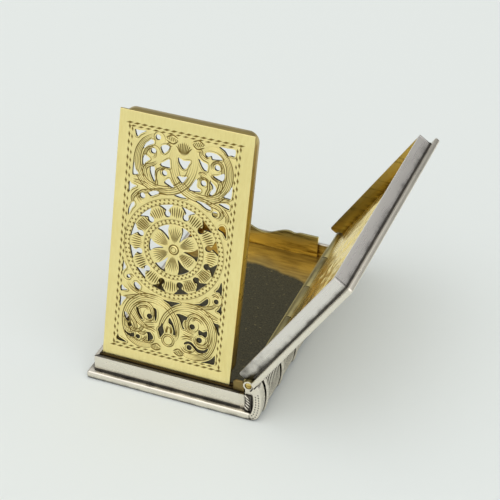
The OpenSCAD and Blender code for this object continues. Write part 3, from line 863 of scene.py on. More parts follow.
class VINAIGRETTE_OT_lid_walls(bpy.types.Operator):
    """Make the lid walls, silver outside and gilt inside, and the gilt sheet between them"""

    bl_idname = "vinaigrette.lid_walls"
    bl_label = "Lid Walls and Lining"

    def execute(self, context):
        sizes = context.scene.vinaigrette_sizes
        place, worn = lid_place(sizes), sizes.wall_round / MM
        reach, height, thick, heel, corner, end = 21.4, 1.9, 0.4, 0.1, 0.35, 17.95
        # A dark strip of painted shade, in the dark silver, runs along the foot of the walls
        shade_seam, shade_seam_end = 0.22, -1.2
        outline = [(-reach, -height)]
        outline += [(-heel - corner + corner * math.sin(a), -height + corner - corner * math.cos(a))
                    for a in (math.pi / 2 * i / 8 for i in range(9))]
        start = math.asin(heel / TUBE_ROOM)
        outline += [(-TUBE_ROOM * math.sin(a), -TUBE_ROOM * math.cos(a))
                    for a in (start + (math.pi / 2 - start) * i / 10 for i in range(11))]
        outline += [(-reach, 0)]
        for side, node, name in ((-1, "lid_tail_wall", "lid_tail_side"),
                                 (1, "lid_head_wall", "lid_head_side")):
            wall = extrude_outline(outline, *sorted((side * end, side * (end - thick))))
            paint(wall, 1, lambda c, n: n.y * side < -0.7)
            round_edges(wall, worn, 2, 50)
            near, far = sorted((side * end, side * (end + PROUD)))
            foot = block((-reach, near, -shade_seam), (shade_seam_end, far, 0))
            settle(seamed(wall, foot), name, "lid", [node], (), place)
        fore = block((-reach, -end + thick, -height), (thick - reach, end - thick, 0))
        soften(fore, worn, 2, lambda a, b: max(a.z, b.z) < 0.01 - height)
        paint(fore, 1, lambda c, n: n.x > 0.7)
        foot = block((-reach - PROUD, -end - PROUD, -shade_seam), (-reach, end + PROUD, 0))
        settle(seamed(fore, foot), "lid_fore_edge", "lid", ["lid_fore_wall"], (), place)

        bpy.ops.mesh.primitive_grid_add(x_subdivisions=120, y_subdivisions=210, size=1)
        sheet = bpy.context.object
        margin, lift, bulge, crease = 0.9, 0.15, 0.4, 0.34
        width = reach - thick - margin
        for point in sheet.data.vertices:
            x, y = point.co.x, point.co.y
            sag = math.cos(math.pi * x) * math.cos(math.pi * y)
            spot = Vector((-margin - (0.5 - x) * width, y * 2 * (end - thick), 0))
            ripple = noise.noise(spot / 2.6) + 0.24 * noise.noise(spot / 0.9)
            point.co = (spot.x, spot.y, -lift - (bulge + crease * ripple) * sag)
        modify(sheet, "SOLIDIFY", thickness=0.06, offset=1)
        settle(sheet, "lid_lining_sheet", "lid", ["lid_lining"], ["lining"], place)
        return {"FINISHED"}


# Ornament of the grille, in millimetres from the middle of the plate, X to the spine and Y to its free end

# Each opening in the scrollwork, as points round its edge
OPENINGS = [
    # Free end, spine side
    [(4.35, 14.45), (5.4, 14.5), (6.45, 14.5), (6.45, 13.6), (5.9, 13.6), (5.55, 13.5), (5.1, 14.0)],
    [(2.65, 13.05), (2.75, 13.35), (3.1, 13.5), (3.6, 13.55), (4.2, 13.45), (4.7, 13.2), (4.95, 12.85),
     (4.2, 12.7), (3.6, 12.65), (3.4, 13.0), (2.95, 12.8)],
    [(1.85, 12.4), (2.4, 12.15), (3.1, 11.9), (3.1, 11.05), (2.7, 11.05), (2.3, 11.5)],
    [(5.3, 11.2), (5.4, 10.7), (5.2, 10.2), (4.8, 10.15), (3.9, 10.55), (4.5, 10.75)],
    [(1.8, 9.75), (1.5, 9.3), (1.25, 8.8), (0.95, 8.15), (1.6, 8.05), (2.45, 8.2), (2.5, 8.5), (2.1, 8.65),
     (1.95, 9.0), (2.0, 9.5)],
    [(3.6, 10.05), (3.85, 9.75), (4.3, 9.4), (4.5, 9.0), (4.4, 8.6), (3.95, 8.05), (3.65, 8.1),
     (3.75, 8.5), (4.0, 8.9), (3.9, 9.3), (3.65, 9.6)],
    [(6.55, 9.75), (6.5, 8.2), (5.9, 8.1), (5.5, 8.15), (5.8, 8.6), (6.1, 9.0), (6.3, 9.5)],
    [(5.0, 7.15), (5.3, 7.35), (5.9, 7.45), (6.4, 7.25), (6.4, 6.75), (6.0, 6.8), (5.5, 6.95)],
    [(2.0, 6.85), (2.3, 7.0), (2.9, 6.95), (3.4, 6.8), (4.0, 6.5), (4.05, 6.1), (3.6, 6.1), (3.1, 6.3),
     (2.6, 6.6)],
    [(5.2, 3.9), (5.5, 4.4), (5.9, 4.5), (6.2, 4.2), (6.35, 3.6), (6.4, 2.9), (6.15, 3.2), (5.8, 3.6)],
    # Free end, middle
    [(-0.75, 12.0), (-0.7, 11.5), (-0.45, 11.05), (0, 10.6), (0.4, 10.8), (0.7, 11.4), (0.85, 11.85),
     (0, 11.75)],
    [(-0.7, 9.5), (-0.3, 9.65), (0.0, 9.6), (0.6, 9.75), (0.4, 9.3), (0.1, 8.85), (-0.1, 8.8),
     (-0.45, 9.15)],
    [(-0.85, 7.0), (-0.4, 7.25), (0, 7.4), (0.4, 7.2), (0.85, 6.95), (0, 6.85)],
    # Free end, fore-edge side
    [(-6.65, 14.4), (-6.2, 14.4), (-5.1, 14.5), (-5.4, 14.3), (-5.9, 13.95), (-6.3, 13.5), (-6.5, 13.8)],
    [(-5.45, 12.2), (-5.2, 12.8), (-4.8, 13.2), (-4.4, 13.55), (-4.05, 13.4), (-4.05, 13.1), (-4.4, 12.85),
     (-4.9, 12.6), (-5.3, 12.2)],
    [(-3.15, 12.75), (-2.9, 13.1), (-2.4, 13.25), (-2.0, 13.1), (-2.15, 12.6), (-2.5, 12.2),
     (-2.75, 12.05), (-2.95, 12.3)],
    [(-5.4, 10.9), (-5.15, 11.4), (-4.8, 11.3), (-4.4, 11.0), (-4.7, 10.7), (-5.0, 10.4), (-5.25, 10.0),
     (-5.4, 10.3)],
    [(-3.0, 10.7), (-2.6, 11.0), (-1.9, 11.5), (-1.75, 11.0), (-1.7, 10.4), (-2.2, 10.35), (-2.9, 10.4)],
    [(-4.3, 10.0), (-4.0, 10.1), (-3.7, 10.1), (-3.65, 9.6), (-3.65, 9.1), (-3.55, 8.5), (-3.6, 8.1),
     (-3.9, 8.5), (-4.2, 9.1), (-4.35, 9.6)],
    [(-2.3, 8.5), (-1.9, 8.9), (-1.65, 9.0), (-1.4, 8.6), (-1.0, 8.15), (-1.3, 7.9), (-1.8, 8.1),
     (-2.25, 8.3)],
    [(-6.55, 10.5), (-6.4, 10.0), (-6.25, 9.4), (-5.75, 8.75), (-6.0, 8.6), (-6.5, 8.5), (-6.6, 9.0)],
    [(-6.9, 7.6), (-6.5, 7.3), (-5.9, 7.15), (-6.2, 6.9), (-6.6, 6.6), (-6.85, 6.1), (-6.95, 6.8)],
    [(-4.3, 6.5), (-4.0, 6.8), (-3.4, 7.05), (-2.9, 7.0), (-3.0, 6.7), (-3.5, 6.4), (-3.9, 6.2)],
    [(-6.75, 3.05), (-6.75, 3.9), (-6.5, 4.6), (-6.1, 5.0), (-5.95, 4.6), (-6.3, 4.1), (-6.5, 3.6)],
    # Hinge end, spine side
    [(0.8, -8.7), (1.3, -8.55), (2.0, -8.65), (2.35, -8.75), (2.3, -9.1), (1.95, -9.3), (1.8, -9.7),
     (1.85, -10.1), (2.1, -10.45), (1.85, -10.5), (1.65, -10.1), (1.4, -9.5), (1.1, -9.0)],
    [(4.0, -10.1), (4.6, -10.25), (5.1, -10.0), (5.2, -10.5), (5.0, -10.95), (4.5, -10.75), (4.05, -10.8)],
    [(2.2, -12.4), (2.5, -12.1), (2.9, -12.0), (3.3, -12.1), (3.7, -12.45), (4.2, -12.75), (4.8, -12.75),
     (5.2, -12.55), (5.5, -12.3), (5.4, -12.8), (4.9, -13.15), (4.3, -13.25), (3.9, -13.1), (3.5, -12.7),
     (3.1, -12.42), (2.7, -12.38), (2.3, -12.6)],
    [(6.5, -13.1), (6.5, -14.3), (5.6, -14.4), (4.7, -14.45), (5.4, -14.15), (6.0, -13.7), (6.3, -13.3)],
    [(5.8, -8.6), (6.2, -8.65), (6.6, -8.7), (6.65, -9.4), (6.7, -10.2), (6.5, -9.9), (6.3, -9.4),
     (6.0, -9.0)],
    [(6.65, -6.0), (6.75, -6.6), (6.75, -7.4), (6.5, -7.1), (6.1, -7.0), (6.4, -6.6)],
    [(3.0, -6.75), (3.8, -6.5), (4.4, -5.9), (4.7, -5.6), (4.9, -5.7), (4.9, -6.2), (4.6, -6.6),
     (4.0, -6.75)],
    [(6.35, -2.95), (6.55, -3.6), (6.55, -4.8), (6.2, -4.4), (5.7, -4.4), (6.1, -3.8)],
    # Hinge end, middle
    [(-1.2, -7.15), (-0.5, -7.2), (0, -7.15), (0.6, -7.1), (1.2, -7.1), (0.6, -7.5), (0.05, -7.9),
     (-0.4, -7.55)],
    [(0, -9.45), (0.3, -9.8), (0.6, -10.3), (0.85, -11.0), (0.95, -11.65), (0.65, -11.65), (0.6, -11.1),
     (0.3, -10.4), (-0.1, -10.2), (-0.15, -9.7)],
    [(-0.95, -10.4), (-0.8, -10.9), (-0.6, -11.6), (-0.9, -12.2), (-1.1, -12.5), (-1.3, -11.9),
     (-1.5, -11.4), (-1.2, -10.9)],
    # Hinge end, fore-edge side
    [(-4.65, -9.0), (-4.3, -9.2), (-4.1, -9.8), (-3.6, -10.5), (-3.9, -10.55), (-4.3, -10.05),
     (-4.6, -9.5)],
    [(-2.4, -8.6), (-1.9, -8.75), (-1.75, -9.8), (-1.95, -10.45), (-2.1, -9.6), (-2.15, -9.0)],
    [(-6.25, -10.1), (-5.8, -10.3), (-5.4, -10.9), (-5.5, -11.3), (-5.9, -11.2), (-6.2, -10.7)],
    [(-6.25, -12.4), (-5.8, -12.8), (-5.2, -12.95), (-4.7, -12.7), (-4.6, -13.2), (-5.0, -13.4),
     (-5.6, -13.2), (-6.0, -12.8)],
    [(-3.0, -12.2), (-2.5, -12.1), (-2.1, -12.5), (-2.0, -12.9), (-2.4, -13.2), (-2.65, -13.5),
     (-2.75, -13.0), (-2.8, -12.5)],
    [(-6.9, -13.4), (-6.7, -13.8), (-6.2, -14.0), (-5.6, -14.3), (-6.2, -14.35), (-6.95, -14.2)],
    [(-6.95, -8.1), (-6.5, -8.1), (-6.15, -8.15), (-6.5, -8.7), (-6.75, -9.3), (-6.95, -9.5),
     (-6.95, -8.8)],
    [(-6.95, -7.3), (-6.95, -6.6), (-6.8, -6.5), (-6.5, -6.8), (-6.0, -7.05), (-6.5, -7.25)],
    [(-5.25, -6.15), (-5.2, -5.8), (-4.95, -5.65), (-4.6, -5.85), (-4.3, -6.15), (-4.35, -6.5),
     (-4.6, -6.7), (-4.95, -6.55)],
    [(-6.95, -4.7), (-6.95, -3.8), (-6.9, -3.1), (-6.7, -3.5), (-6.45, -4.0), (-6.75, -4.4)],
]

# Small round eyes: place and radius
EYES = [
    (4.4, 11.75, 0.37), (2.8, 9.4, 0.38), (4.65, 5.75, 0.4), (-3.55, 14.0, 0.36), (-4.05, 12.15, 0.36),
    (-2.35, 9.6, 0.36), (-5.0, 6.05, 0.38), (3.1, -9.9, 0.38), (4.2, -11.5, 0.38), (2.95, -12.85, 0.36),
    (5.95, -5.7, 0.33), (-2.75, -9.9, 0.36), (-5.35, -11.7, 0.3), (-4.1, -13.1, 0.3), (-6.05, -5.15, 0.26),
]

# Engraved strands on the spine side: points along each, number of lines, and their spread; the
# fore-edge side has the same, mirrored
STRANDS = [
    # Free end: the great scroll, its inner curls, the side sprays and the spray beside the medallion
    ([(-0.95, 13.0), (-1.3, 11.8), (-1.15, 10.4), (-0.55, 9.0), (0.5, 7.95), (1.9, 7.4), (3.4, 7.35),
      (4.8, 7.9), (5.75, 9.1), (6.1, 10.6), (5.9, 12.1), (5.2, 13.3), (4.1, 14.0), (3.1, 13.9),
      (2.5, 13.5)], 5, 1.15),
    ([(4.9, 9.0), (5.15, 10.2), (5.2, 11.3), (4.9, 12.2), (4.35, 12.5), (3.8, 12.15), (3.75, 11.5),
      (4.2, 11.2)], 3, 0.4),
    ([(4.6, 8.1), (5.0, 9.3), (4.8, 10.0), (4.0, 10.4), (3.4, 10.9)], 3, 0.55),
    ([(4.4, 7.9), (3.3, 7.95), (3.5, 8.8), (3.4, 9.7), (2.9, 10.05), (2.3, 9.7), (2.4, 9.0)], 2, 0.28),
    ([(3.0, 10.2), (2.4, 10.5), (2.1, 10.3)], 4, 0.7),
    ([(3.4, 12.4), (2.7, 12.55), (2.2, 12.9), (2.1, 13.4), (1.4, 13.3)], 3, 0.5),
    ([(0.9, 14.3), (1.7, 14.66), (2.6, 14.2)], 2, 0.04),
    ([(0.9, 14.1), (1.6, 13.55), (2.55, 13.95)], 2, 0.04),
    ([(4.3, 7.5), (5.3, 7.7), (6.5, 7.85)], 3, 0.5),
    ([(1.2, 7.15), (2.6, 7.2), (4.1, 6.85), (5.1, 6.55), (5.6, 5.9), (5.2, 5.2), (4.6, 5.1)], 3, 0.55),
    ([(5.3, 6.7), (5.8, 6.3), (6.3, 5.6), (6.2, 4.8)], 3, 0.5),
    # Hinge end
    ([(-1.9, -7.45), (-0.5, -8.1), (0.55, -9.2), (1.1, -10.6), (1.15, -11.9), (0.75, -12.6)], 3, 0.6),
    ([(0.1, -8.1), (1.2, -7.65), (2.6, -7.4), (4.2, -7.75), (5.4, -8.85), (5.95, -10.4), (5.85, -12.0),
      (5.2, -13.4), (4.0, -14.05), (2.7, -14.0), (1.7, -13.5), (1.3, -12.9)], 5, 1.15),
    ([(5.3, -9.7), (4.5, -8.75), (3.5, -8.3), (2.7, -8.6), (2.35, -9.5), (2.6, -10.4), (3.4, -10.55),
      (3.75, -10.0)], 3, 0.55),
    ([(4.5, -9.4), (4.1, -8.9), (3.4, -8.75), (2.95, -9.2)], 2, 0.25),
    ([(5.6, -10.2), (5.5, -11.5), (4.9, -12.25), (4.0, -12.2), (3.6, -11.5), (4.0, -10.95)], 3, 0.5),
    ([(1.9, -12.9), (2.3, -13.45), (3.1, -13.5), (3.6, -13.15)], 2, 0.3),
    ([(1.9, -10.9), (2.7, -11.1), (3.5, -11.1)], 3, 0.6),
    ([(1.7, -11.9), (2.4, -11.6), (3.4, -11.7)], 2, 0.3),
    ([(4.5, -7.5), (5.5, -7.85), (6.6, -8.15)], 3, 0.5),
    ([(1.6, -7.2), (3.0, -7.15), (4.4, -7.0), (5.5, -6.6), (6.2, -5.8)], 3, 0.5),
    ([(0.8, -13.9), (1.5, -13.48), (2.35, -13.95)], 2, 0.04),
    ([(0.8, -14.0), (1.6, -14.4), (2.35, -14.05)], 2, 0.04),
    ([(5.3, -5.2), (5.7, -4.9), (6.3, -5.2)], 2, 0.25),
    ([(0.12, -10.6), (0.3, -11.2), (0.25, -11.7)], 2, 0.16),
]

# Strands that only the fore-edge side has, in the scroll of the hinge end
SPRAYS = [
    ([(-5.6, -9.2), (-5.0, -9.9), (-4.3, -10.8), (-3.4, -11.4), (-2.4, -11.7)], 4, 0.8),
    ([(-5.3, -10.4), (-4.8, -11.1), (-4.5, -11.8), (-4.7, -12.3), (-5.2, -12.5)], 3, 0.45),
    ([(-4.3, -12.1), (-3.9, -12.45), (-3.4, -12.5), (-3.0, -12.0)], 3, 0.4),
    ([(-3.6, -13.6), (-3.2, -13.2), (-3.0, -12.7)], 2, 0.25),
]

# The medallion: its middle, its keyholes and petals, and the outlines of a keyhole and of the gap between two
# petals, as distances out from the middle and across
MEDALLION = Vector((-0.3, -0.15))
KEYHOLES = 12
KEYHOLE = [(5.84, -0.95), (5.9, 0), (5.84, 0.95), (5.5, 0.55), (5.15, 0.2), (4.95, 0.33), (4.66, 0.4),
           (4.38, 0.28), (4.28, 0), (4.38, -0.28), (4.66, -0.4), (4.95, -0.33), (5.15, -0.2), (5.5, -0.55)]
PETALS = 6
PETAL_GAP = [(1.35, 0), (2.1, 0.22), (2.75, 0.5), (3.15, 0.85), (3.3, 0.4), (3.32, 0), (3.3, -0.4),
             (3.15, -0.85), (2.75, -0.5), (2.1, -0.22)]
BOSS_RADIUS, BOSS_HEIGHT = 0.5, 0.12


def flow(points, step=0.12, closed=False):
    """A smooth line through points, as points about a step apart."""
    points = [Vector(p) for p in points]
    count = len(points)
    line = []
    for i in range(count if closed else count - 1):
        if closed:
            a, b, c, d = (points[(i + k) % count] for k in (-1, 0, 1, 2))
        else:
            a, b, c, d = (points[min(max(i + k, 0), count - 1)] for k in (-1, 0, 1, 2))
        out, back = (c - a) * 0.42, (d - b) * 0.42
        steps = max(2, round((c - b).length / step))
        for k in range(steps):
            t = k / steps
            line.append(b * (2 * t ** 3 - 3 * t ** 2 + 1) + out * (t ** 3 - 2 * t ** 2 + t)
                        + c * (3 * t ** 2 - 2 * t ** 3) + back * (t ** 3 - t ** 2))
    return line if closed else line + [points[-1]]


def sideways(line, i):
    """Unit vector across a line at one of its points."""
    along = line[min(i + 1, len(line) - 1)] - line[max(i - 1, 0)]
    return Vector((-along.y, along.x)).normalized()


def circle(middle, radius, sides):
    """Points on a circle."""
    angles = (math.tau * k / sides for k in range(sides))
    return [middle + radius * Vector((math.cos(a), math.sin(a))) for a in angles]


def ring_line(middle, radius, sides):
    """A circle as a line that ends where it starts."""
    ring = circle(middle, radius, sides)
    return ring + ring[:1]


def polar(radius, angle):
    """A point of the medallion."""
    return MEDALLION + radius * Vector((math.cos(angle), math.sin(angle)))


def ray(start, end):
    """A straight cut of the medallion between two points, each a radius and an angle."""
    return [polar(*Vector(start).lerp(Vector(end), t / 6)) for t in range(7)]


def openings():
    """Edges of all the openings: scrollwork, eyes, keyholes and the gaps between the petals."""
    loops = [flow(points, 0.1, True) for points in OPENINGS]
    loops += [circle(Vector((x, y)), r, 20) for x, y, r in EYES]
    for shape, number, lag in ((KEYHOLE, KEYHOLES, 0.5), (PETAL_GAP, PETALS, 0)):
        for k in range(number):
            angle = (k + lag) * math.tau / number
            out = Vector((math.cos(angle), math.sin(angle)))
            across = Vector((-out.y, out.x))
            loops.append(flow([MEDALLION + out * r + across * w for r, w in shape], 0.1, True))
    return loops


def search_tree(spots):
    """A tree that finds the flat points near another."""
    tree = kdtree.KDTree(len(spots))
    for i, spot in enumerate(spots):
        tree.insert((*spot, 0), i)
    tree.balance()
    return tree


def contours(loops, away):
    """Lines that run along the openings at a distance, broken where they would come near another opening,
    the border or the medallion."""
    side, end, medallion, fewest = 6.75, 14.55, 6.8, 5
    tree = search_tree([p for loop in loops for p in loop])
    lines = []
    for loop in loops:
        area = sum(a.x * b.y - b.x * a.y for a, b in zip(loop, loop[1:] + loop[:1]))
        ring = loop + loop[:2]
        run = []
        for i, p in enumerate(loop):
            along = (ring[i + 1] - loop[i - 1]).normalized()
            spot = p + Vector((along.y, -along.x)) * math.copysign(away, area)
            if (tree.find_range((*spot, 0), away * 0.9) or abs(spot.x) > side or abs(spot.y) > end
                    or (spot - MEDALLION).length < medallion):
                if len(run) > fewest:
                    lines.append(run)
                run = []
            else:
                run.append(spot)
        if len(run) > fewest:
            lines.append(run)
    return lines


def volute(x, y, radius):
    """A spiral line round an eye, which opens towards the middle of the plate."""
    turn = 1 if x > 0 else -1
    start, sweep, steps = math.atan2(-y, -x), math.radians(330), 40
    line = []
    for k in range(steps + 1):
        t = k / steps
        angle = start + turn * sweep * t
        reach = radius + 0.15 + 0.55 * t * t
        line.append(Vector((x + reach * math.cos(angle), y + reach * math.sin(angle))))
    return line


def engraved_lines():
    """All engraved lines, each as its points and its share of the full width."""
    lines = [(line, 0.62) for line in contours(openings()[:len(OPENINGS)], 0.17)]
    lines += [(volute(*eye), 0.66) for eye in EYES]
    mirrored = [([(-x, y) for x, y in points], number, spread) for points, number, spread in STRANDS]
    for points, number, spread in STRANDS + mirrored + SPRAYS:
        middle = flow(points)
        last = len(middle) - 1
        for k in range(number):
            shift = spread * (k / (number - 1) - 0.5)
            # The lines of a strand draw together towards its end
            lines.append(([p + sideways(middle, i) * shift * (1 - 0.55 * (i / last) ** 2)
                           for i, p in enumerate(middle)], 0.85 if k in (0, number - 1) else 0.6))
    # Rings of the medallion, and rays between its keyholes
    for radius, share in ((6.68, 0.5), (5.96, 0.5), (4.0, 0.5), (3.42, 0.5), (0.62, 1.0), (0.34, 0.7)):
        lines.append((ring_line(MEDALLION, radius, 96), share))
    for k in range(KEYHOLES):
        for j in range(-3, 4):
            angle = (k + j / 9) * math.tau / KEYHOLES
            lines.append((ray((4.12 + 0.12 * abs(j), angle), (5.85 - 0.1 * abs(j), angle)), 0.9))
    # A few of the fields are hatched both ways
    for k in (5, 10, 11):
        for j in range(8):
            angle, reach = k * math.tau / KEYHOLES, 4.2 + 0.19 * j
            lines.append((ray((reach, angle - 0.17), (reach + 0.2, angle + 0.17)), 0.7))
    for j in range(7):
        angle, reach = 5.5 * math.tau / PETALS, 1.1 + 0.27 * j
        lines.append((ray((reach, angle - 0.3), (reach + 0.2, angle + 0.3)), 0.7))
    # Shading along the petals
    for k in range(PETALS):
        angle = (k + 0.5) * math.tau / PETALS
        for j in range(-3, 4):
            lean = j / 3
            start = (0.75 + 0.25 * abs(lean), angle + 0.22 * lean)
            lines.append((ray(start, (3.2 - 0.35 * abs(lean), angle + 0.33 * lean)), 0.72))
    # The palmette between the two scrolls of the free end
    for k in range(-4, 5):
        lines.append((flow([(0.12 * k - 0.12, 12.3 + 0.02 * k * k), (0.2 * k - 0.13, 13.2),
                            (0.27 * k - 0.14, 14.1 - 0.04 * k * k)]), 0.85))
    # Two leaves at each end are hatched
    for side in (-1, 1):
        for y, step in ((14.15, 0.24), (-13.95, 0.21)):
            for k in range(6):
                reach = 0.13 + 0.26 * math.sin(0.6 * k)
                lines.append((flow([(side * (1.0 + step * k), y - reach),
                                    (side * (1.22 + (step + 0.01) * k), y + reach)]), 0.75))
    # The knob between the two scrolls of the hinge end
    for radius in (0.85, 0.62):
        lines.append((ring_line(Vector((0.0, -12.65)), radius, 24), 0.8))
    return lines


def engraved_dots():
    """Short strokes of the border rows and the dots of the medallion's two rings, each as its two ends and
    its width as a share of a line's."""
    strokes = []

    def row(start, end, pitch, length, shift, share):
        """Adds a row of slanting strokes, moved along it by a shift in pitches."""
        start, end, slant = Vector(start), Vector(end), 0.16
        number = round((end - start).length / pitch)
        along = (end - start).normalized()
        across = Vector((-along.y, along.x))
        half = (along + across * slant) * length / 2
        for k in range(number + (0 if shift else 1)):
            middle = start.lerp(end, (k + shift) / number)
            strokes.append((middle - half, middle + half, share))

    for inset, across, upright, shift, share in ((0.0, 1.25, 1.0, 0, 1.6), (0.38, 1.05, 0.85, 0.12, 1.35)):
        left, right, low, high = inset - 7.38, 7.12 - inset, inset - 15.06, 15.16 - inset
        for y in (low, high):
            row((left, y), (right, y), 0.98, across, shift, share)
        for x in (left, right):
            row((x, low), (x, high), 1.0, upright, shift + 0.5, share)
    for radius, number in ((6.5, 68), (6.1, 64), (3.84, 42), (3.54, 39)):
        for k in range(number):
            ends = (math.tau * (k + lag) / number for lag in (-0.34, 0.34))
            strokes.append((*(polar(radius, angle) for angle in ends), 1.5))
    return strokes


def inside(point, loop):
    """Whether a point lies inside a closed line."""
    hit = False
    for a, b in zip(loop, loop[1:] + loop[:1]):
        if (a.y > point.y) != (b.y > point.y):
            if point.x < a.x + (point.y - a.y) / (b.y - a.y) * (b.x - a.x):
                hit = not hit
    return hit


def plate_drawing(half, edge, holes, cut_half):
    """What is drawn on the plate: points, the edges between them, and marks along each cut, as a spot and the
    cut's width there as a share of a line's."""
    points, edges, marks = [], [], []

    def trace(line, closed=False):
        """Adds a line to the points and the edges."""
        first = len(points)
        points.extend(line)
        edges.extend((first + i, first + i + 1) for i in range(len(line) - 1))
        if closed:
            edges.append((first + len(line) - 1, first))

    outer = [Vector((x * half.x, y * half.y)) for x, y in ((-1, -1), (1, -1), (1, 1), (-1, 1))]
    trace(outer, True)
    trace([p - Vector((math.copysign(edge, p.x), math.copysign(edge, p.y))) for p in outer], True)
    for hole in holes:
        trace(hole, True)
    for radius in (0.12, 0.24, 0.42, BOSS_RADIUS):
        trace(circle(MEDALLION, radius, 24), True)
    for line, share in engraved_lines():
        last = len(line) - 1
        closed = (line[0] - line[-1]).length < 1e-6
        # An engraver's cut starts and ends thin
        widths = [share * (1.0 if closed else min(1.0, 0.15 + 4 * min(i, last - i) / last))
                  for i in range(last + 1)]
        for side in (-1, 0, 1):
            trace([p + sideways(line, i) * side * cut_half * widths[i] for i, p in enumerate(line)])
        for i in range(last):
            steps = max(1, round((line[i + 1] - line[i]).length / 0.03))
            for k in range(steps):
                t = k / steps
                marks.append((line[i].lerp(line[i + 1], t), widths[i] * (1 - t) + widths[i + 1] * t))
    for start, end, share in engraved_dots():
        along = end - start
        across = Vector((-along.y, along.x)).normalized() * cut_half * share
        middle = start.lerp(end, 0.5)
        trace([start, middle + across, end, middle - across], True)
        trace([start, middle, end])
        for k in range(13):
            t = k / 12
            marks.append((start.lerp(end, t), share * (1 - abs(2 * t - 1)) + 0.02))
    return points, edges, marks


class VINAIGRETTE_OT_grille_plate(bpy.types.Operator):
    """Make the pierced plate, with every engraved line cut into its face"""

    bl_idname = "vinaigrette.grille_plate"
    bl_label = "Grille Plate"

    def execute(self, context):
        sizes = context.scene.vinaigrette_sizes
        width, back, front = PLATE_RIGHT - PLATE_LEFT, 0.1, 0.45
        edge, lip, slope = 0.035, 0.2, 0.42
        half = Vector((width / 2, PLATE_LENGTH / 2))
        cut_half, cut_deep = sizes.cut_width / MM / 2, sizes.cut_depth / MM
        holes = openings()
        boxes = [(min(p.x for p in hole), max(p.x for p in hole),
                  min(p.y for p in hole), max(p.y for p in hole)) for hole in holes]
        points, edges, marks = plate_drawing(half, edge, holes, cut_half)
        flat, _, triangles, *_ = geometry.delaunay_2d_cdt(points, edges, [], 0, 1e-5)
        tree = search_tree([spot for spot, _ in marks])

        def depth(p):
            """How deep the engraving is at a point."""
            deepest = 0.0
            for _, i, away in tree.find_range((*p, 0), cut_half * 2.3):
                share = marks[i][1]
                deepest = max(deepest, cut_deep * min(share, 1.2) * (1 - away / (cut_half * share)))
            return deepest

        def solid(corners, triangle):
            """Whether the middle of a triangle lies outside every opening."""
            middle = sum((corners[i] for i in triangle), Vector((0, 0))) / 3
            return not any(x0 < middle.x < x1 and y0 < middle.y < y1 and inside(middle, hole)
                           for hole, (x0, x1, y0, y1) in zip(holes, boxes))

        depths = [depth(p) for p in flat]
        kept = [triangle for triangle in triangles if solid(flat, triangle)]

        def height(i):
            """How high a point of the face lies, with the boss, the engraving and the worn rim."""
            rim = min(half.x - abs(flat[i].x), half.y - abs(flat[i].y))
            boss = 1 - ((flat[i] - MEDALLION).length / BOSS_RADIUS) ** 2
            dome = BOSS_HEIGHT * math.sqrt(boss) if boss > 0 else 0
            return front + dome - depths[i] - (edge if rim < 1e-4 else 0)

        # The face, the flat back under it and the sides between them
        shift = Vector((PLATE_LEFT + half.x, half.y))
        count = len(flat)
        spots = []
        for i, p in enumerate(flat):
            foot = p.y < edge + 1e-4 - half.y
            spots.append((p.x + shift.x, p.y + shift.y - (lip if foot else 0), height(i)))
        for p in flat:
            spots.append((p.x + shift.x, max(slope, p.y + shift.y), back))
        faces = [tuple(t) for t in kept]
        rims = {}
        for a, b, c in kept:
            for pair in ((a, b), (b, c), (c, a)):
                if pair[::-1] in rims:
                    del rims[pair[::-1]]
                else:
                    rims[pair] = True
        rim_points = sorted({i for pair in rims for i in pair})
        number = {i: k for k, i in enumerate(rim_points)}
        under, _, under_faces, sources, *_ = geometry.delaunay_2d_cdt(
            [flat[i] for i in rim_points], [(number[a], number[b]) for a, b in rims], [], 0, 1e-7)
        faces += [tuple(rim_points[sources[i][0]] + count for i in reversed(triangle))
                  for triangle in under_faces if solid(under, triangle)]
        faces += [(b, a, a + count, b + count) for a, b in rims]
        plate = mesh_piece("plate", spots, faces)
        deep = plate.data.attributes.new(CUT, "FLOAT", "POINT")
        for i in range(count):
            deep.data[i].value = depths[i] / cut_deep
        # Brown inside the openings, painted shade on their walls, and rubbed along the outer edges
        paint(plate, 1, lambda c, n: abs(n.z) < 0.3)
        paint(plate, 2, lambda c, n: abs(n.z) < 0.3 and (min(c.x - PLATE_LEFT, PLATE_RIGHT - c.x) < edge
                                                         or min(c.y, PLATE_LENGTH - c.y) < edge))
        bpy.ops.object.mode_set(mode="EDIT")
        bpy.ops.mesh.select_all(action="SELECT")
        bpy.ops.mesh.delete_loose()
        bpy.ops.object.mode_set(mode="OBJECT")
        settle(plate, "pierced_plate", "grille", ["grille_plate"], ["gilt", "brown", "rim"],
               grille_place(sizes))
        return {"FINISHED"}


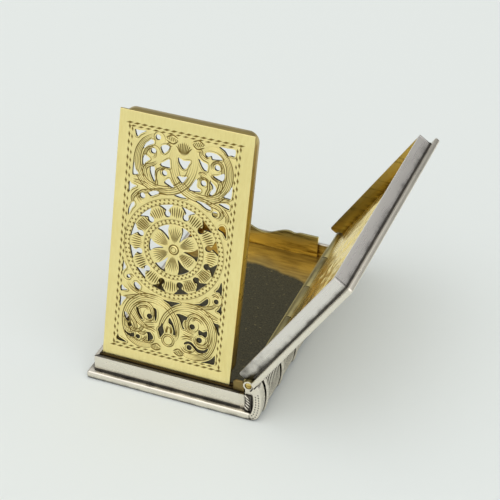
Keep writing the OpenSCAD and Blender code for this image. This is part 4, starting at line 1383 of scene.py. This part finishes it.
class VINAIGRETTE_OT_grille_skirt(bpy.types.Operator):
    """Make the skirt behind the plate, a strip bent round with rounded corners"""

    bl_idname = "vinaigrette.grille_skirt"
    bl_label = "Grille Skirt"

    def execute(self, context):
        sizes = context.scene.vinaigrette_sizes
        inset, heel, corner, deep, top, thick = 0.05, 0.9, 1.4, 1.65, 0.1, 0.35
        low = Vector((PLATE_LEFT + inset, heel))
        high = Vector((PLATE_RIGHT - inset, PLATE_LENGTH - inset))
        middle = (low + high) / 2
        bpy.ops.mesh.primitive_plane_add(size=1, location=(*middle, top))
        skirt = bpy.context.object
        skirt.scale = (high.x - low.x, high.y - low.y, 1)
        bpy.ops.object.transform_apply(location=True, rotation=True, scale=True)
        bpy.ops.object.mode_set(mode="EDIT")
        bpy.ops.mesh.select_all(action="SELECT")
        bpy.ops.mesh.bevel(offset=corner, segments=10, affect="VERTICES")
        bpy.ops.mesh.select_all(action="SELECT")
        bpy.ops.mesh.delete(type="ONLY_FACE")
        bpy.ops.mesh.select_all(action="SELECT")
        bpy.ops.mesh.extrude_edges_move(TRANSFORM_OT_translate={"value": (0, 0, -deep)})
        bpy.ops.object.mode_set(mode="OBJECT")
        face_outwards()
        modify(skirt, "SOLIDIFY", thickness=thick, offset=-1, use_even_offset=True)
        round_edges(skirt, 0.06, 2, 50)
        settle(skirt, "grille_rim", "grille", ["grille_skirt"], ["rim"], grille_place(sizes))
        return {"FINISHED"}


class VINAIGRETTE_OT_grille_hinge(bpy.types.Operator):
    """Make the tubes and the pin of the grille hinge"""

    bl_idname = "vinaigrette.grille_hinge"
    bl_label = "Grille Hinge"

    def execute(self, context):
        sizes = context.scene.vinaigrette_sizes
        place = Matrix.Translation(GRILLE_AXIS)
        length, radius, pin = PLATE_RIGHT - PLATE_LEFT + 0.5, 0.32, 0.15
        starts, each = shared(PLATE_LEFT, length, 5, 0.1)
        fixed = []
        for x in starts[0::2]:
            fixed.append(tube(radius, pin, (x, 0, 0), (x + each, 0, 0)))
            # The leaf that holds the tube to the bezel
            fixed.append(block((x, -0.57, -0.2), (x + each, -0.2, 0.1)))
        # The fixed tubes and their leaves are brown gilding, painted shade under the plate
        settle(join(*fixed), "tray_hinge_tubes", "base", ["tray_knuckles"], ["brown"], place)
        # The turning tubes are the same painted shade
        turning = [tube(radius, pin + TUBE_PLAY, (x, 0, 0), (x + each, 0, 0)) for x in starts[1::2]]
        settle(join(*turning), "grille_hinge_tubes", "grille", ["grille_knuckles"], ["brown"],
               grille_place(sizes))
        rod = bar(pin, (PLATE_LEFT + 0.08, 0, 0), (PLATE_LEFT + length - 0.08, 0, 0), 32)
        round_edges(rod, 0.06, 3)
        settle(rod, "grille_pin", "base", ["grille_hinge_pin"], ["old"], place)
        return {"FINISHED"}


class VINAIGRETTE_OT_stage(bpy.types.Operator):
    """Set up the pale floor, the soft light and the camera"""

    bl_idname = "vinaigrette.stage"
    bl_label = "Stage"

    def execute(self, context):
        scene = context.scene
        scene.view_settings.view_transform = "Standard"

        bpy.ops.mesh.primitive_plane_add(size=6, location=(0, 0, 0))
        floor = context.object
        floor.name = "paper_floor"
        # Matt paper scatters the light evenly, so that the box has only a soft shadow
        paper, _, shader, _ = new_material("matt_paper")
        fill(shader, Base_Color=scene.vinaigrette_finishes.paper, Roughness=0.9)
        floor.data.materials.append(paper)

        # Soft light from above and from the front
        world = bpy.data.worlds.new("soft_studio")
        scene.world = world
        world.use_nodes = True
        tree = world.node_tree
        tree.nodes.clear()
        smooth = {"interpolation_type": "SMOOTHSTEP"}
        view = add(tree, "ShaderNodeTexCoord").outputs["Generated"]
        upwards = add(tree, "ShaderNodeSeparateXYZ", Vector=view).outputs["Z"]
        above = add(tree, "ShaderNodeMapRange", smooth, Value=upwards,
                    From_Min=0.25, From_Max=1.0, To_Min=0.25, To_Max=1.06).outputs[0]
        facing = add(tree, "ShaderNodeVectorMath", {"operation": "DOT_PRODUCT"},
                     _0=view, _1=(0.6, -0.8, 0)).outputs["Value"]
        front = add(tree, "ShaderNodeMapRange", smooth, Value=facing,
                    From_Min=-0.3, From_Max=0.8, To_Min=0.0, To_Max=0.73).outputs[0]
        level = add(tree, "ShaderNodeMath", PLUS, _0=above, _1=front).outputs[0]
        sky = add(tree, "ShaderNodeBackground", Color=(0.97, 0.98, 0.98), Strength=level).outputs[0]
        add(tree, "ShaderNodeOutputWorld", Surface=sky)

        spot, target = Vector((-0.3, -0.1, 0.6)), Vector((0, 0, 0.01))
        lamp = bpy.data.lights.new("key_softbox", "AREA")
        lamp.shape = "DISK"
        lamp.size = 0.7
        lamp.energy = 0.5
        softbox = bpy.data.objects.new("key_softbox", lamp)
        scene.collection.objects.link(softbox)
        softbox.location = spot
        softbox.rotation_euler = (target - spot).to_track_quat("-Z", "Y").to_euler()

        # The camera, from the lines of the case in the picture: a long lens from the front, right and above
        aim, distance = Vector((-0.718, 12.688, 3.0)), 239.1
        azimuth, rise, roll = (math.radians(a) for a in (20.055, 34.39, 1.692))
        back = Vector((math.sin(azimuth) * math.cos(rise), -math.cos(azimuth) * math.cos(rise),
                       math.sin(rise)))
        right = Vector((math.cos(azimuth), math.sin(azimuth), 0))
        up = back.cross(right)
        tilted = math.cos(roll) * right + math.sin(roll) * up
        up = -math.sin(roll) * right + math.cos(roll) * up
        eye = bpy.data.cameras.new("camera")
        eye.lens = 121.64
        eye.sensor_width = 36
        eye.clip_start = 0.01
        camera = bpy.data.objects.new("camera", eye)
        scene.collection.objects.link(camera)
        turn = Matrix((tilted, up, back)).transposed().to_4x4()
        camera.matrix_world = Matrix.Translation(aim * MM + back * distance * MM) @ turn
        scene.camera = camera
        return {"FINISHED"}


class VINAIGRETTE_PT_panel(bpy.types.Panel):
    """Lists the pieces in the order they are made"""

    bl_idname = "VINAIGRETTE_PT_panel"
    bl_label = "Vinaigrette"
    bl_space_type = "VIEW_3D"
    bl_region_type = "UI"
    bl_category = "Vinaigrette"

    def draw(self, context):
        layout = self.layout
        for settings in (context.scene.vinaigrette_sizes, context.scene.vinaigrette_finishes):
            for name in settings.__annotations__:
                layout.prop(settings, name)
        for operator in OPERATORS:
            layout.operator(operator.bl_idname)


OPERATORS = (VINAIGRETTE_OT_boards, VINAIGRETTE_OT_tray_walls, VINAIGRETTE_OT_tray_floor,
             VINAIGRETTE_OT_rims, VINAIGRETTE_OT_spine, VINAIGRETTE_OT_spine_ends,
             VINAIGRETTE_OT_lid_hinge, VINAIGRETTE_OT_lid_walls, VINAIGRETTE_OT_grille_plate,
             VINAIGRETTE_OT_grille_skirt, VINAIGRETTE_OT_grille_hinge, VINAIGRETTE_OT_stage)
CLASSES = (VinaigretteSizes, VinaigretteFinishes, *OPERATORS, VINAIGRETTE_PT_panel)


def register():
    """Registers the classes and gives every scene its settings."""
    for cls in CLASSES:
        bpy.utils.register_class(cls)
    bpy.types.Scene.vinaigrette_sizes = PointerProperty(type=VinaigretteSizes)
    bpy.types.Scene.vinaigrette_finishes = PointerProperty(type=VinaigretteFinishes)


def unregister():
    """Takes the settings and the classes away again."""
    del bpy.types.Scene.vinaigrette_finishes
    del bpy.types.Scene.vinaigrette_sizes
    for cls in reversed(CLASSES):
        bpy.utils.unregister_class(cls)


def main():
    """Makes every piece and the stage."""
    register()
    bpy.ops.object.select_all(action="DESELECT")
    for operator in OPERATORS:
        group, name = operator.bl_idname.split(".")
        getattr(getattr(bpy.ops, group), name)()


if __name__ == "__main__":
    main()
